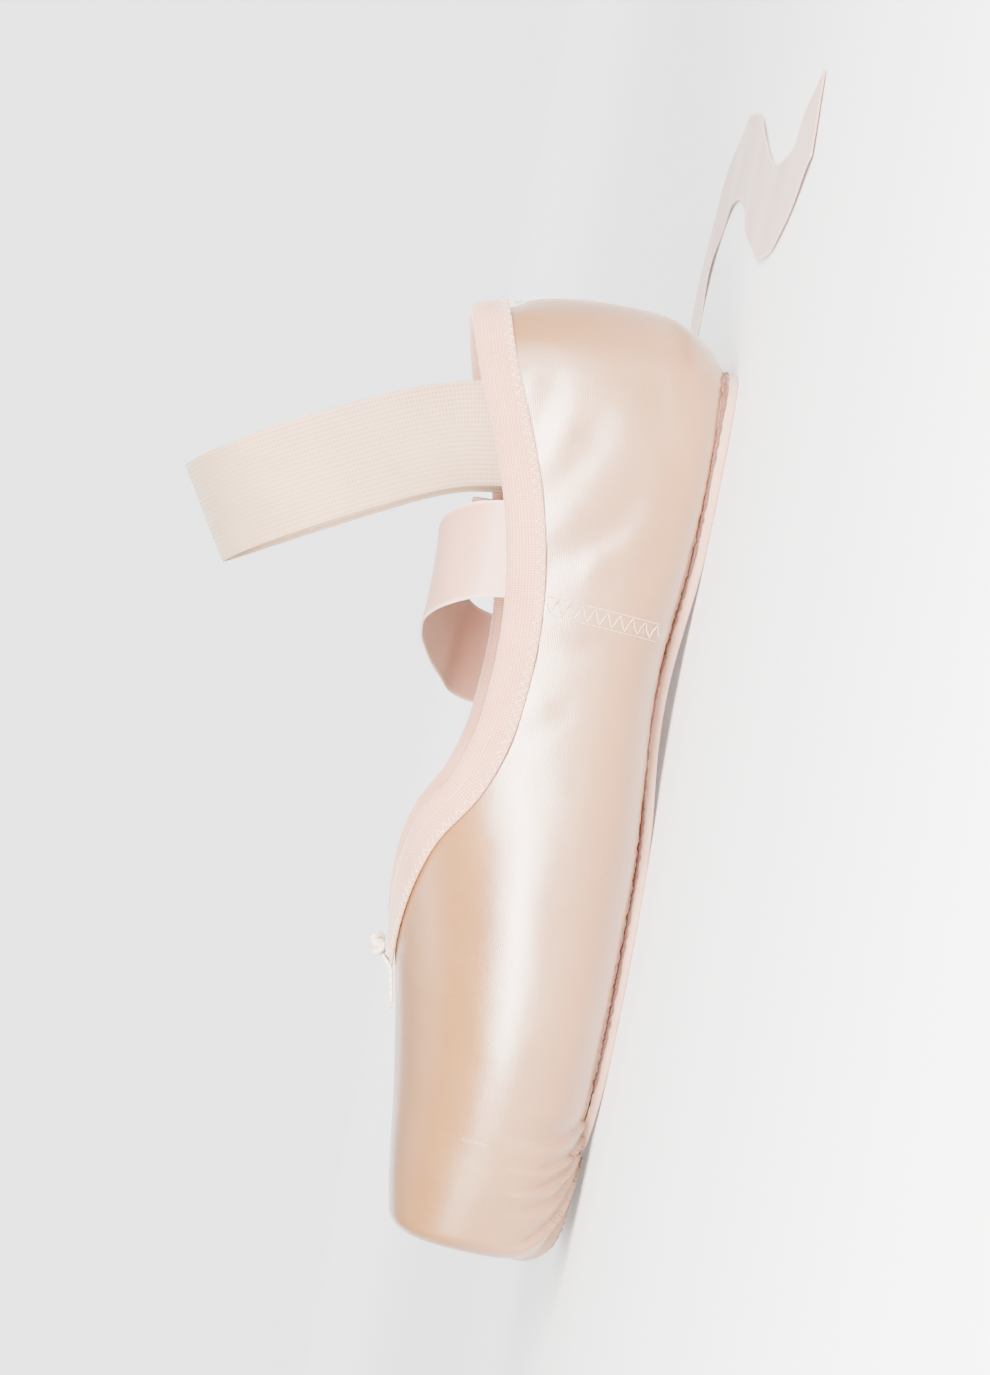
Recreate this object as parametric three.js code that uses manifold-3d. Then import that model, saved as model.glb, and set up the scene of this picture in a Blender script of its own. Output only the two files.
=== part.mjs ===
// Pointe shoe on a straight last, standing empty on its sole. Millimetres, +Z up, toe towards -Y,
// heel towards +Y, origin on the floor under the middle of the shoe. Stations run from the flat
// platform at the toe (0) to the back of the heel (LENGTH).
import * as THREE from "three";
import { mergeVertices } from "three/addons/utils/BufferGeometryUtils.js";
import Module from "manifold-3d";

// Driving dimensions.
const LENGTH = 230;
const PLATFORM_EDGE = 4; // radius of the rounded edge round the platform
const BOX_WALL = 3.2; // stiffened layers of the box
const QUARTER_WALL = 1.8; // satin, canvas and lining of the sides and heel
const BOX_END = 55; // the box's stiffening thins out from here ...
const QUARTER_START = 105; // ... to here
const FIT_GAP = 0.3; // between pieces that meet
const MARGIN = 2; // upper turned under, between the outsole and the insole
const MARGIN_WIDTH = 7; // how far the turned-under margin reaches in from the outsole's edge
const SOCK = 1.6; // insole thickness over the margin
const THROAT = 70; // station of the throat's tip
const THROAT_SPREAD = 52; // half width that the throat opens towards
const THROAT_LENGTH = 44; // over this length, so that its two sides meet at about 90 degrees
const THROAT_ROUND = 1.5; // radius at the tip
const BINDING_OUTSIDE = 8; // width of the folded binding outside the rim ...
const BINDING_INSIDE = 7; // ... and inside it
const BINDING_CLOTH = 1; // folded cloth with the drawstring in it
const BINDING_EASE = 0.2; // added to the gap, for the binding bends over the shoulder and the heel
const SOLE_TOE = 27; // stations of the outsole's ends
const SOLE_HEEL = 218;
const FOREFOOT_FLAT = [55, 95]; // stations between which the outsole lies on the floor
const HEEL_FLAT = [178, SOLE_HEEL];
const TOE_SPRING = 1.4;
const ARCH_LIFT = 2.6;
const SOLE_THICKNESS = [2.3, 3]; // at the toe and at the heel
const SOLE_BEVEL = 0.8;
const RIBBON_WIDTH = 23;
const RIBBON_CLOTH = 0.8;
const ELASTIC_WIDTH = 25;
const ELASTIC_CLOTH = 1.2;
const KNOT_HALF = new THREE.Vector3(4.6, 3.2, 2.2); // drawstring knot
const KNOT_BELOW_RIM = 3;

// The last, a row for each section. A section is two half ovals that meet at its widest line;
// a squareness of 2 is an ellipse, and more is squarer.
const LAST = table(
  ["station", "halfWidth", "widestAt", "bottom", "top", "lowerSquareness", "upperSquareness"],
  [
    [0, 27.2, 23.5, 5, 43.5, 2.7, 2.7],
    [8, 30.4, 22.5, 2.9, 45.1, 2.7, 2.6],
    [18, 34.2, 21.5, 2, 46.7, 2.6, 2.45],
    [30, 38.2, 20.5, 1.6, 48.3, 2.6, 2.35],
    [45, 42.1, 19.8, 1.2, 50.8, 2.6, 2.3],
    [60, 44.4, 19.2, 1, 53.6, 2.6, 2.25],
    [75, 45, 19, 0.9, 56.9, 2.6, 2.2],
    [95, 43.2, 19.5, 1.2, 61.8, 2.6, 2.2],
    [115, 39.2, 20.5, 3, 66.8, 2.6, 2.2],
    [135, 35.6, 21.5, 4.3, 71.2, 2.6, 2.2],
    [150, 33.8, 22, 4.2, 74, 2.7, 2.2],
    [170, 32, 22.5, 2.6, 77, 3, 2.25],
    [190, 30.2, 23.2, 1.3, 78.8, 3.4, 2.3],
    [204, 28.3, 24, 1.2, 78.4, 3.5, 2.3],
    [214, 24.9, 25, 1.7, 74.8, 3.3, 2.2],
    [221.5, 20, 26, 5.6, 66, 2.8, 2.1],
    [226.5, 14.2, 26.7, 11.4, 54, 2.4, 2],
    [229.2, 8, 27, 18.4, 41.5, 2.1, 2],
    [LENGTH, 0, 27, 27, 27, 2, 2],
  ],
);
// Height of the rim behind the throat.
const COLLAR = table(
  ["station", "height"],
  [
    [98, 55], [105, 51.7], [112, 48.6], [120, 46.2], [135, 44.4], [150, 44.4],
    [165, 46.4], [180, 50.2], [195, 55.8], [208, 61], [222, 65.2],
  ],
);
// Outsole in plan, a row for each station along it.
const SOLE = table(
  ["station", "halfWidth"],
  [
    [SOLE_TOE, 11.5], [27.5, 14.2], [29, 16.4], [33, 18.9], [42, 22.4], [58, 26], [74, 27.2],
    [90, 25.4], [106, 20.8], [122, 16.6], [140, 14.4], [156, 14.8], [172, 17], [188, 19.3],
    [200, 20], [208, 19.2], [213.5, 17], [216.5, 13.8], [SOLE_HEEL, 10],
  ],
);

function table(columns, rows) {
  return Object.fromEntries(columns.map((name, i) => [name, rows.map((row) => row[i])]));
}

// A curve through values at knots: a cubic between each two, with one slope at each knot. With
// ends that mirror, the curve goes on past its last knot as a half turn about it.
function curveThrough(knots, values, mirrorsLast = false) {
  const x = [...knots];
  const y = [...values];
  const last = x.length - 1;
  if (mirrorsLast) {
    x.push(2 * x[last] - x[last - 1]);
    y.push(2 * y[last] - y[last - 1]);
  }
  const rate = x.slice(1).map((to, i) => (y[i + 1] - y[i]) / (to - x[i]));
  const slope = x.map((at, i) => {
    if (i === 0) return rate[0];
    if (i === x.length - 1) return rate[i - 1];
    const before = at - x[i - 1];
    const after = x[i + 1] - at;
    return (rate[i - 1] * after + rate[i] * before) / (before + after);
  });
  return (at) => {
    let i = 0;
    while (i < last - 1 && at > x[i + 1]) i++;
    const step = x[i + 1] - x[i];
    const t = THREE.MathUtils.clamp((at - x[i]) / step, 0, 1);
    return (
      y[i] * (1 + 2 * t) * (1 - t) ** 2 +
      slope[i] * step * t * (1 - t) ** 2 +
      y[i + 1] * (3 - 2 * t) * t ** 2 +
      slope[i + 1] * step * (t - 1) * t ** 2
    );
  };
}

// The place whose value is wanted, for a function that rises between low and high.
const HALVINGS = 40;
function solve(rising, wanted, low, high) {
  for (let i = 0; i < HALVINGS; i++) {
    const middle = (low + high) / 2;
    if (rising(middle) < wanted) low = middle;
    else high = middle;
  }
  return (low + high) / 2;
}

// Travel runs over the outside of the last from the platform's flat to the back of the heel:
// first round the platform's edge, then from section to section.
const sectionAt = LAST.station.reduce((knots, station, i) => {
  if (i === 0) return [0];
  const step = Math.hypot(
    station - LAST.station[i - 1],
    LAST.halfWidth[i] - LAST.halfWidth[i - 1],
    LAST.top[i] - LAST.top[i - 1],
  );
  return [...knots, knots[i - 1] + step];
}, []);
const lastColumns = Object.fromEntries(
  Object.entries(LAST).map(([name, values]) => {
    const closes = ["halfWidth", "bottom", "top"].includes(name);
    const curve = closes ? curveThrough(sectionAt, values, true) : curveThrough(sectionAt, values);
    return [name, curve];
  }),
);
const EDGE_TRAVEL = (PLATFORM_EDGE * Math.PI) / 2;
const edgeKnot = solve(lastColumns.station, PLATFORM_EDGE, 0, sectionAt.at(-1));
const FULL_TRAVEL = EDGE_TRAVEL + sectionAt.at(-1) - edgeKnot;

function section(travel) {
  const turn = (Math.min(travel / EDGE_TRAVEL, 1) * Math.PI) / 2;
  const onEdge = travel < EDGE_TRAVEL;
  const knot = onEdge ? edgeKnot * (1 - Math.cos(turn)) : edgeKnot + travel - EDGE_TRAVEL;
  const inset = onEdge ? PLATFORM_EDGE * (1 - Math.sin(turn)) : 0;
  return {
    station: onEdge ? PLATFORM_EDGE * (1 - Math.cos(turn)) : lastColumns.station(knot),
    halfWidth: lastColumns.halfWidth(knot) - inset,
    widestAt: lastColumns.widestAt(knot),
    bottom: lastColumns.bottom(knot) + inset,
    top: lastColumns.top(knot) - inset,
    lowerSquareness: lastColumns.lowerSquareness(knot),
    upperSquareness: lastColumns.upperSquareness(knot),
  };
}

// A point on the last. Angle 0 is its +X side, and a quarter turn is its top.
function onLast(travel, angle) {
  const cut = section(travel);
  const across = Math.cos(angle);
  const up = Math.sin(angle);
  const rise = up >= 0 ? cut.top - cut.widestAt : cut.widestAt - cut.bottom;
  const power = up >= 0 ? cut.upperSquareness : cut.lowerSquareness;
  const reach =
    (Math.abs(across / cut.halfWidth) ** power + Math.abs(up / rise) ** power) ** (-1 / power);
  return new THREE.Vector3(reach * across, cut.station - LENGTH / 2, cut.widestAt + reach * up);
}

// How a point on the last moves with travel and with angle.
const SLOPE_STEP = 0.01;
function slopes(travel, angle) {
  const low = Math.max(travel - SLOPE_STEP, 0);
  const high = Math.min(travel + SLOPE_STEP, FULL_TRAVEL - SLOPE_STEP);
  const [before, after] = [angle - SLOPE_STEP, angle + SLOPE_STEP];
  return {
    alongTravel: onLast(high, angle).sub(onLast(low, angle)).divideScalar(high - low),
    alongAngle: onLast(travel, after).sub(onLast(travel, before)).divideScalar(after - before),
  };
}

function outward(travel, angle) {
  const { alongTravel, alongAngle } = slopes(travel, angle);
  return alongTravel.cross(alongAngle).normalize();
}

function wallAt(station) {
  return THREE.MathUtils.lerp(
    BOX_WALL,
    QUARTER_WALL,
    THREE.MathUtils.smoothstep(station, BOX_END, QUARTER_START),
  );
}

const travelAt = (station) => solve((travel) => section(travel).station, station, 0, FULL_TRAVEL);

// Closed geometry through rings of points of one count. A ring of one point is a pole. Each
// four-cornered face is halved along its shorter diagonal.
function skin(rings, endsMeet = false) {
  const points = rings.flat();
  const positions = points.flatMap((point) => point.toArray());
  const starts = rings.reduce((sums, ring) => [...sums, sums.at(-1) + ring.length], [0]);
  const faces = [];
  const spans = endsMeet ? rings.length : rings.length - 1;
  for (let i = 0; i < spans; i++) {
    const next = (i + 1) % rings.length;
    const count = Math.max(rings[i].length, rings[next].length);
    for (let j = 0; j < count; j++) {
      const k = (j + 1) % count;
      const [a, b] = [j, k].map((at) => starts[i] + (rings[i].length > 1 ? at : 0));
      const [c, d] = [j, k].map((at) => starts[next] + (rings[next].length > 1 ? at : 0));
      const isShorter = points[b].distanceTo(points[c]) < points[a].distanceTo(points[d]);
      if (a === b) faces.push(b, d, c);
      else if (c === d) faces.push(a, b, c);
      else if (isShorter) faces.push(a, b, c, b, d, c);
      else faces.push(a, b, d, a, d, c);
    }
  }
  if (!endsMeet) {
    cap(rings[0], starts[0], faces, true);
    cap(rings.at(-1), starts.at(-2), faces, false);
  }
  const geometry = new THREE.BufferGeometry();
  geometry.setAttribute("position", new THREE.Float32BufferAttribute(positions, 3));
  geometry.setIndex(faces);
  return geometry;
}

// Closes a ring that is symmetric about the line from its first point's opposite to itself.
function cap(ring, start, faces, isFirst) {
  for (let j = 1; j < ring.length - 1; j++) {
    if (isFirst) faces.push(start, start + j + 1, start + j);
    else faces.push(start, start + j, start + j + 1);
  }
}

const wasm = await Module();
wasm.setup();

function solidOf(geometry) {
  const bare = geometry.index ? geometry.clone() : geometry;
  bare.deleteAttribute("normal");
  bare.deleteAttribute("uv");
  const merged = mergeVertices(bare, 1e-4);
  const solid = new wasm.Manifold(
    new wasm.Mesh({
      numProp: 3,
      vertProperties: merged.attributes.position.array,
      triVerts: new Uint32Array(merged.index.array),
    }),
  );
  if (solid.volume() > 0) return solid;
  merged.setIndex(Array.from(merged.index.array).reverse());
  return solidOf(merged);
}

function geometryOf(solid) {
  const mesh = solid.getMesh();
  const geometry = new THREE.BufferGeometry();
  const positions = new Float32Array(mesh.numVert * 3);
  for (let i = 0; i < mesh.numVert; i++) {
    positions.set(mesh.vertProperties.subarray(i * mesh.numProp, i * mesh.numProp + 3), i * 3);
  }
  geometry.setAttribute("position", new THREE.BufferAttribute(positions, 3));
  geometry.setIndex(new THREE.BufferAttribute(mesh.triVerts, 1));
  return geometry;
}

// The last, larger or smaller all round by a distance that may change along it.
const RINGS_ROUND_EDGE = 4;
const RINGS_ALONG = 31;
const POINTS_ROUND = 40;
const HEEL_CLUSTER = 1.3; // sections lie closer together towards the heel
function lastForm(growAt) {
  const travels = [];
  for (let i = 0; i < RINGS_ROUND_EDGE; i++) travels.push((EDGE_TRAVEL * i) / RINGS_ROUND_EDGE);
  for (let i = 0; i < RINGS_ALONG; i++) {
    const share = 1 - (1 - i / RINGS_ALONG) ** HEEL_CLUSTER;
    travels.push(THREE.MathUtils.lerp(EDGE_TRAVEL, FULL_TRAVEL, share));
  }
  const rings = travels.map((travel) => {
    const grow = growAt(section(travel).station);
    return Array.from({ length: POINTS_ROUND }, (_, j) => {
      const angle = (2 * Math.PI * j) / POINTS_ROUND;
      return onLast(travel, angle).addScaledVector(outward(travel, angle), grow);
    });
  });
  const heel = new THREE.Vector3(0, LENGTH / 2 + growAt(LENGTH), LAST.widestAt.at(-1));
  return solidOf(skin([...rings, [heel]]));
}

// A side view, given by its upper and lower edges as functions of the station, carried across X.
const SIDE_REACH = 70;
const SIDE_STEPS = 40;
function sideBand(lower, upper, from, to) {
  const rings = Array.from({ length: SIDE_STEPS + 1 }, (_, i) => {
    const station = THREE.MathUtils.lerp(from, to, i / SIDE_STEPS);
    const y = station - LENGTH / 2;
    return [
      new THREE.Vector3(-SIDE_REACH, y, lower(station)),
      new THREE.Vector3(SIDE_REACH, y, lower(station)),
      new THREE.Vector3(SIDE_REACH, y, upper(station)),
      new THREE.Vector3(-SIDE_REACH, y, upper(station)),
    ];
  });
  return solidOf(skin(rings));
}

// Outsole: flat on the floor at the forefoot and the heel, with toe spring and arch.
const soleHalfWidth = curveThrough(SOLE.station, SOLE.halfWidth);
function soleBottom(station) {
  const [toeFlat, archStart] = FOREFOOT_FLAT;
  const archEnd = HEEL_FLAT[0];
  if (station < toeFlat) return TOE_SPRING * ((toeFlat - station) / (toeFlat - SOLE_TOE)) ** 2;
  if (station < archStart || station > archEnd) return 0;
  return ARCH_LIFT * Math.sin((Math.PI * (station - archStart)) / (archEnd - archStart)) ** 2;
}
function soleTop(station) {
  const held = THREE.MathUtils.clamp(station, SOLE_TOE, SOLE_HEEL);
  const share = (held - SOLE_TOE) / (SOLE_HEEL - SOLE_TOE);
  return soleBottom(held) + THREE.MathUtils.lerp(...SOLE_THICKNESS, share);
}
const insideFloor = (station) => soleTop(station) + FIT_GAP + MARGIN;

const SOLE_STATIONS = [
  SOLE_TOE, 27.4, 28, 29, 31, 34, 38, 43, 49, 55, 61, 68, 75, 82, 89, 95, 101, 107, 113, 119, 125,
  131, 137, 143, 149, 155, 161, 167, 173, 178, 185, 192, 199, 205, 209, 212, 214.5, 216.3, 217.4,
  SOLE_HEEL,
];
// The outsole's shape, larger by grow all round.
function soleShape(grow) {
  const middle = (SOLE_TOE + SOLE_HEEL) / 2;
  const rings = SOLE_STATIONS.map((station) => {
    const y = station + grow * Math.sign(station - middle) - LENGTH / 2;
    const wide = soleHalfWidth(station) + grow;
    const low = soleBottom(station) - grow;
    const half = [
      [wide - SOLE_BEVEL, low],
      [wide, low + SOLE_BEVEL],
      [wide - SOLE_BEVEL / 3, soleTop(station) + grow],
    ].map(([x, z]) => new THREE.Vector3(x, y, z));
    return [...half, ...half.map((p) => new THREE.Vector3(-p.x, p.y, p.z)).reverse()];
  });
  return solidOf(skin(rings));
}

// The plan inside the outsole's edge, as an upright column between two heights.
function insideSole(inset, low, high) {
  const [from, to] = [SOLE_TOE + inset, SOLE_HEEL - inset];
  const half = SOLE_STATIONS.map((station) => {
    const share = (station - SOLE_TOE) / (SOLE_HEEL - SOLE_TOE);
    const x = Math.max(soleHalfWidth(station) - inset, 1);
    return new THREE.Vector2(x, THREE.MathUtils.lerp(from, to, share) - LENGTH / 2);
  });
  const outline = [...half, ...half.map((p) => new THREE.Vector2(-p.x, p.y)).reverse()];
  const column = new THREE.ExtrudeGeometry(new THREE.Shape(outline), {
    depth: high - low,
    bevelEnabled: false,
    steps: 1,
  });
  return solidOf(column.translate(0, 0, low));
}

// The rim of the opening, from the throat's tip to the top of the heel on the +X side: a travel
// and an angle on the last for each point.
const collarHeight = curveThrough(COLLAR.station, COLLAR.height);
const heelTopTravel = solve(
  (travel) => collarHeight(section(travel).station) - section(travel).top,
  0,
  travelAt(HEEL_FLAT[0]),
  FULL_TRAVEL,
);
const HEEL_TOP = section(heelTopTravel).station;
function throatHalfWidth(station) {
  const spread = THROAT_SPREAD * (1 - Math.exp((THROAT - station) / THROAT_LENGTH));
  return Math.sqrt(spread * (spread + 2 * THROAT_ROUND));
}
// Stations between which the throat's plan gives way to the collar's height.
const THROAT_BLEND = [98, 114];
function rimAt(station) {
  const travel = travelAt(station);
  const quarter = Math.PI / 2;
  const byHeight = solve((angle) => onLast(travel, angle).z, collarHeight(station), 0, quarter);
  const byPlan = solve((angle) => -onLast(travel, angle).x, -throatHalfWidth(station), 0, quarter);
  const share = THREE.MathUtils.smoothstep(station, ...THROAT_BLEND);
  return { travel, angle: THREE.MathUtils.lerp(byPlan, byHeight, share) };
}
const RIM_STEPS = 32;
const rimHalf = Array.from({ length: RIM_STEPS + 1 }, (_, i) => {
  if (i === 0) return { travel: travelAt(THROAT), angle: Math.PI / 2 };
  if (i === RIM_STEPS) return { travel: heelTopTravel, angle: Math.PI / 2 };
  const share = (1 - Math.cos((Math.PI * i) / RIM_STEPS)) / 2;
  return rimAt(THREE.MathUtils.lerp(THROAT, HEEL_TOP, share));
});
// The whole rim, round by the +X side and back by the -X side.
const rim = [
  ...rimHalf,
  ...rimHalf
    .slice(1, -1)
    .reverse()
    .map(({ travel, angle }) => ({ travel, angle: Math.PI - angle })),
];
const rimPoints = rim.map(({ travel, angle }) => onLast(travel, angle));
const rimFrames = rim.map(({ travel, angle }, i) => {
  const before = rimPoints.at(i - 1);
  const after = rimPoints[(i + 1) % rim.length];
  const out = outward(travel, angle);
  const along = after.clone().sub(before).normalize();
  return { travel, angle, point: rimPoints[i], out, down: along.clone().cross(out).normalize() };
});

// Walks over the last from a travel and an angle, in a direction, and gives the place reached.
const WALK_STEP = 1;
function walk({ travel, angle }, direction, distance) {
  const steps = Math.max(1, Math.ceil(Math.abs(distance) / WALK_STEP));
  const place = { travel, angle };
  for (let i = 0; i < steps; i++) {
    const { alongTravel, alongAngle } = slopes(place.travel, place.angle);
    const normal = alongTravel.clone().cross(alongAngle).normalize();
    const heading = direction.clone().addScaledVector(normal, -direction.dot(normal)).normalize();
    const tt = alongTravel.dot(alongTravel);
    const ta = alongTravel.dot(alongAngle);
    const aa = alongAngle.dot(alongAngle);
    const t = heading.dot(alongTravel) * (distance / steps);
    const a = heading.dot(alongAngle) * (distance / steps);
    const scale = tt * aa - ta * ta;
    place.travel += (t * aa - a * ta) / scale;
    place.angle += (a * tt - t * ta) / scale;
  }
  return place;
}

// A point near the rim: below it along the last, and out from the last's surface.
function byRim(frame, below, out) {
  if (below <= 0) {
    return frame.point.clone().addScaledVector(frame.down, below).addScaledVector(frame.out, out);
  }
  const place = walk(frame, frame.down, below);
  return onLast(place.travel, place.angle).addScaledVector(outward(place.travel, place.angle), out);
}

// What is cut away above the rim, square to the wall: loops inside, outside and high above it.
const CUT_REACH = 6;
const CUT_TOP = 110;
function openingCutter() {
  const rungs = rimHalf.map((_, i) => {
    const frame = rimFrames[i];
    const inner = byRim(frame, 0, -CUT_REACH);
    const outer = byRim(frame, 0, CUT_REACH);
    const high = outer.clone().setZ(CUT_TOP);
    return [inner, outer, high];
  });
  const mirrored = (p) => new THREE.Vector3(-p.x, p.y, p.z);
  const isEnd = (i) => i === 0 || i === rungs.length - 1;
  const rings = rungs.map(([inner, outer, high], i) => {
    const half = isEnd(i) ? [inner, outer, high].map((p) => p.clone().setX(0)) : [inner, outer, high];
    return [...half, ...half.map(mirrored).reverse()];
  });
  return solidOf(skin(rings));
}

// Upper: the last less the last shrunk by the wall, open at the collar and under the insole.
const OVERRUN = 5; // how far a cutting shape runs past what it cuts
const cavity = lastForm((station) => -wallAt(station)).intersect(
  sideBand(insideFloor, () => CUT_TOP, -OVERRUN, LENGTH + OVERRUN),
);
const upper = lastForm(() => 0)
  .subtract(cavity)
  .subtract(openingCutter())
  .subtract(soleShape(FIT_GAP))
  .subtract(insideSole(MARGIN_WIDTH, -OVERRUN, insideFloor(SOLE_TOE) + OVERRUN));

// Insole: a sock over the margin, and the filler under it that closes the gap to the outsole.
const SOCK_TOE = 9; // station of its end in the box
const sockBottom = (station) => insideFloor(station) + FIT_GAP;
const sockMiddle = (station) => sockBottom(station) + SOCK / 2;
const sock = lastForm((station) => -wallAt(station) - FIT_GAP).intersect(
  sideBand(sockBottom, (station) => sockBottom(station) + SOCK, SOCK_TOE, LENGTH),
);
const filler = insideSole(MARGIN_WIDTH + FIT_GAP, 0, insideFloor(SOLE_TOE) + OVERRUN).intersect(
  sideBand((station) => soleTop(station) + FIT_GAP, sockMiddle, SOCK_TOE, LENGTH),
);
const insole = sock.add(filler);

// Binding: a strip of cloth folded over the rim, with the drawstring in its fold.
function bindingSolid() {
  const gap = FIT_GAP + BINDING_EASE;
  const face = gap + BINDING_CLOTH;
  const rings = rimFrames.map((frame) => {
    const wall = wallAt(section(frame.travel).station);
    return [
      [BINDING_OUTSIDE, gap],
      [BINDING_OUTSIDE, gap + BINDING_CLOTH * 0.6],
      [BINDING_OUTSIDE / 2, face],
      [0, face],
      [-face, face * 0.4],
      [-face, -wall - face * 0.4],
      [0, -wall - face],
      [BINDING_INSIDE / 2, -wall - face],
      [BINDING_INSIDE, -wall - face],
      [BINDING_INSIDE, -wall - gap],
      [BINDING_INSIDE / 2, -wall - gap],
      [-FIT_GAP, -wall - gap],
      [-FIT_GAP, gap],
      [BINDING_OUTSIDE / 2, gap],
    ].map(([below, out]) => byRim(frame, below, out));
  });
  return solidOf(skin(rings, true));
}

// Knot of the drawstring, on the binding at the throat's tip.
const [KNOT_MERIDIANS, KNOT_PARALLELS] = [14, 8];
function knotGeometry() {
  const tip = rimFrames[0];
  const standOff = FIT_GAP * 2 + BINDING_EASE + BINDING_CLOTH + KNOT_HALF.z;
  const place = byRim(tip, KNOT_BELOW_RIM, standOff);
  const slope = Math.atan2(tip.out.y, tip.out.z);
  return new THREE.SphereGeometry(1, KNOT_MERIDIANS, KNOT_PARALLELS)
    .scale(...KNOT_HALF)
    .rotateX(-slope)
    .translate(...place);
}

// A flat band along a route: across(share, heading) gives its width's direction, and cup how far
// its edges stand in from its middle.
function bandSolid(route, across, width, cloth, steps, lanes = [-1, 1], cup = () => 0) {
  const path = new THREE.CatmullRomCurve3(route, false, "centripetal");
  path.arcLengthDivisions = 25 * steps;
  const points = path.getSpacedPoints(steps);
  const rings = points.map((point, i) => {
    const share = i / steps;
    const heading = path.getTangentAt(share).normalize();
    const wide = across(share, heading);
    wide.addScaledVector(heading, -wide.dot(heading)).normalize();
    const face = heading.clone().cross(wide).normalize();
    const side = (offset) =>
      lanes.map((lane) =>
        point
          .clone()
          .addScaledVector(wide, (lane * width) / 2)
          .addScaledVector(face, offset + cup(share) * lane ** 2),
      );
    return [...side(cloth / 2), ...side(-cloth / 2).reverse()];
  });
  return solidOf(skin(rings));
}

// Elastic: a hoop from inside one side of the heel, forward and up round where the ankle's front
// goes, and down inside the other side. A row for each height on the +X half.
const ELASTIC = table(
  ["x", "station", "height"],
  [
    [26.2, 193, 36], [24.8, 193, 43], [22.4, 193, 50], [20.7, 192.4, 56], [20.4, 191, 63],
    [22.4, 187.2, 73], [25.4, 181.2, 85], [26.4, 174.5, 97.5], [22.8, 168, 109],
    [14.3, 163.4, 116.6], [0, 161.2, 120],
  ],
);
const ELASTIC_LEAN = [12, 32]; // degrees that its width leans from level, in the heel and in front
const ELASTIC_CUP = 2.7; // how far its edges follow the round of the heel
const ELASTIC_CUPPED = [0.45, 0.85]; // over these shares of the way from its middle to its ends
const ELASTIC_LANES = [-1, -0.5, 0, 0.5, 1];
const ELASTIC_STEPS = 34;
function elasticRoute() {
  const half = ELASTIC.x.map(
    (x, i) => new THREE.Vector3(x, ELASTIC.station[i] - LENGTH / 2, ELASTIC.height[i]),
  );
  return [...half, ...half.slice(0, -1).reverse().map((p) => new THREE.Vector3(-p.x, p.y, p.z))];
}
function elasticSolid() {
  const fromMiddle = (share) => Math.abs(2 * share - 1);
  const across = (share) => {
    const degrees = THREE.MathUtils.lerp(...ELASTIC_LEAN, 1 - fromMiddle(share) ** 2);
    const lean = THREE.MathUtils.degToRad(degrees);
    return new THREE.Vector3(0, Math.cos(lean), Math.sin(lean));
  };
  const cup = (share) =>
    ELASTIC_CUP * THREE.MathUtils.smoothstep(fromMiddle(share), ...ELASTIC_CUPPED);
  const [width, cloth] = [ELASTIC_WIDTH, ELASTIC_CLOTH];
  return bandSolid(elasticRoute(), across, width, cloth, ELASTIC_STEPS, ELASTIC_LANES, cup);
}

// Ribbons: sewn inside the sides, over the -X rim and down to the floor beside the shoe. Each row
// is a place along the route, and landing gives the shares of it between which the ribbon turns
// from hanging on edge along the shoe to lying flat.
const RIBBON_STEPS = 60;
const RIBBON_LEFT = table(
  ["x", "y", "z"],
  [
    [28.6, 52, 31], [26.2, 51.8, 38], [24.6, 51, 46], [22.2, 49.5, 54], [16.5, 46.5, 60],
    [8.5, 43, 63], [0, 39, 62.5], [-10, 34, 59.5], [-20, 29.5, 55.5], [-29.5, 26, 51.4],
    [-36.7, 24.5, 44.8], [-38.7, 23.8, 35], [-39, 23, 24], [-39.7, 22, 13], [-43.8, 20, 4],
    [-54, 15, 1.1], [-64, 4, 0.9], [-70, -20, 0.8], [-72, -47, 0.8], [-74, -74, 0.8],
    [-84, -99, 0.8], [-106, -114, 0.8], [-132, -109, 0.8], [-147, -88, 0.8], [-150, -61, 0.8],
    [-145, -34, 0.8], [-137, -8, 0.8], [-131, 18, 0.8], [-131, 40, 0.8],
  ],
);
const RIBBON_RIGHT = table(
  ["x", "y", "z"],
  [
    [-28.6, 52, 31], [-26.2, 52, 38], [-24.3, 52.1, 45], [-24.2, 52.2, 51.5], [-27.8, 52.4, 56],
    [-32.6, 52.8, 54.4], [-35.2, 53.2, 46.5], [-35.4, 53.6, 34], [-35.8, 54.2, 20],
    [-38, 55, 8.5], [-44, 57, 2.2], [-55, 61, 0.9], [-79, 65, 0.8], [-106, 72, 0.8],
    [-130, 86, 0.8], [-145, 109, 0.8], [-145, 136, 0.8], [-129, 158, 0.8], [-103, 168, 0.8],
    [-75, 168, 0.8], [-48, 161, 0.8], [-22, 151, 0.8], [5, 144, 0.8], [33, 142, 0.8],
    [60, 147, 0.8], [85, 157, 0.8],
  ],
);
function ribbonSolid(rows, landing) {
  const route = rows.x.map((x, i) => new THREE.Vector3(x, rows.y[i], rows.z[i]));
  const up = new THREE.Vector3(0, 0, 1);
  const across = (share, heading) => {
    const flat = heading.clone().cross(up);
    return new THREE.Vector3(0, 1, 0).lerp(flat, THREE.MathUtils.smoothstep(share, ...landing));
  };
  return bandSolid(route, across, RIBBON_WIDTH, RIBBON_CLOTH, RIBBON_STEPS);
}

const satin = { color: "#e2c2ac", roughness: 0.35, metalness: 0 };
const bindingCloth = { color: "#eec6b0", roughness: 0.75, metalness: 0 };
const leather = { color: "#b79a8c", roughness: 0.6, metalness: 0 };
const lining = { color: "#efe3d3", roughness: 0.85, metalness: 0 };
const ribbonSatin = { color: "#f0dcd4", roughness: 0.35, metalness: 0 };
const elasticCloth = { color: "#e8ddcc", roughness: 0.8, metalness: 0 };

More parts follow.
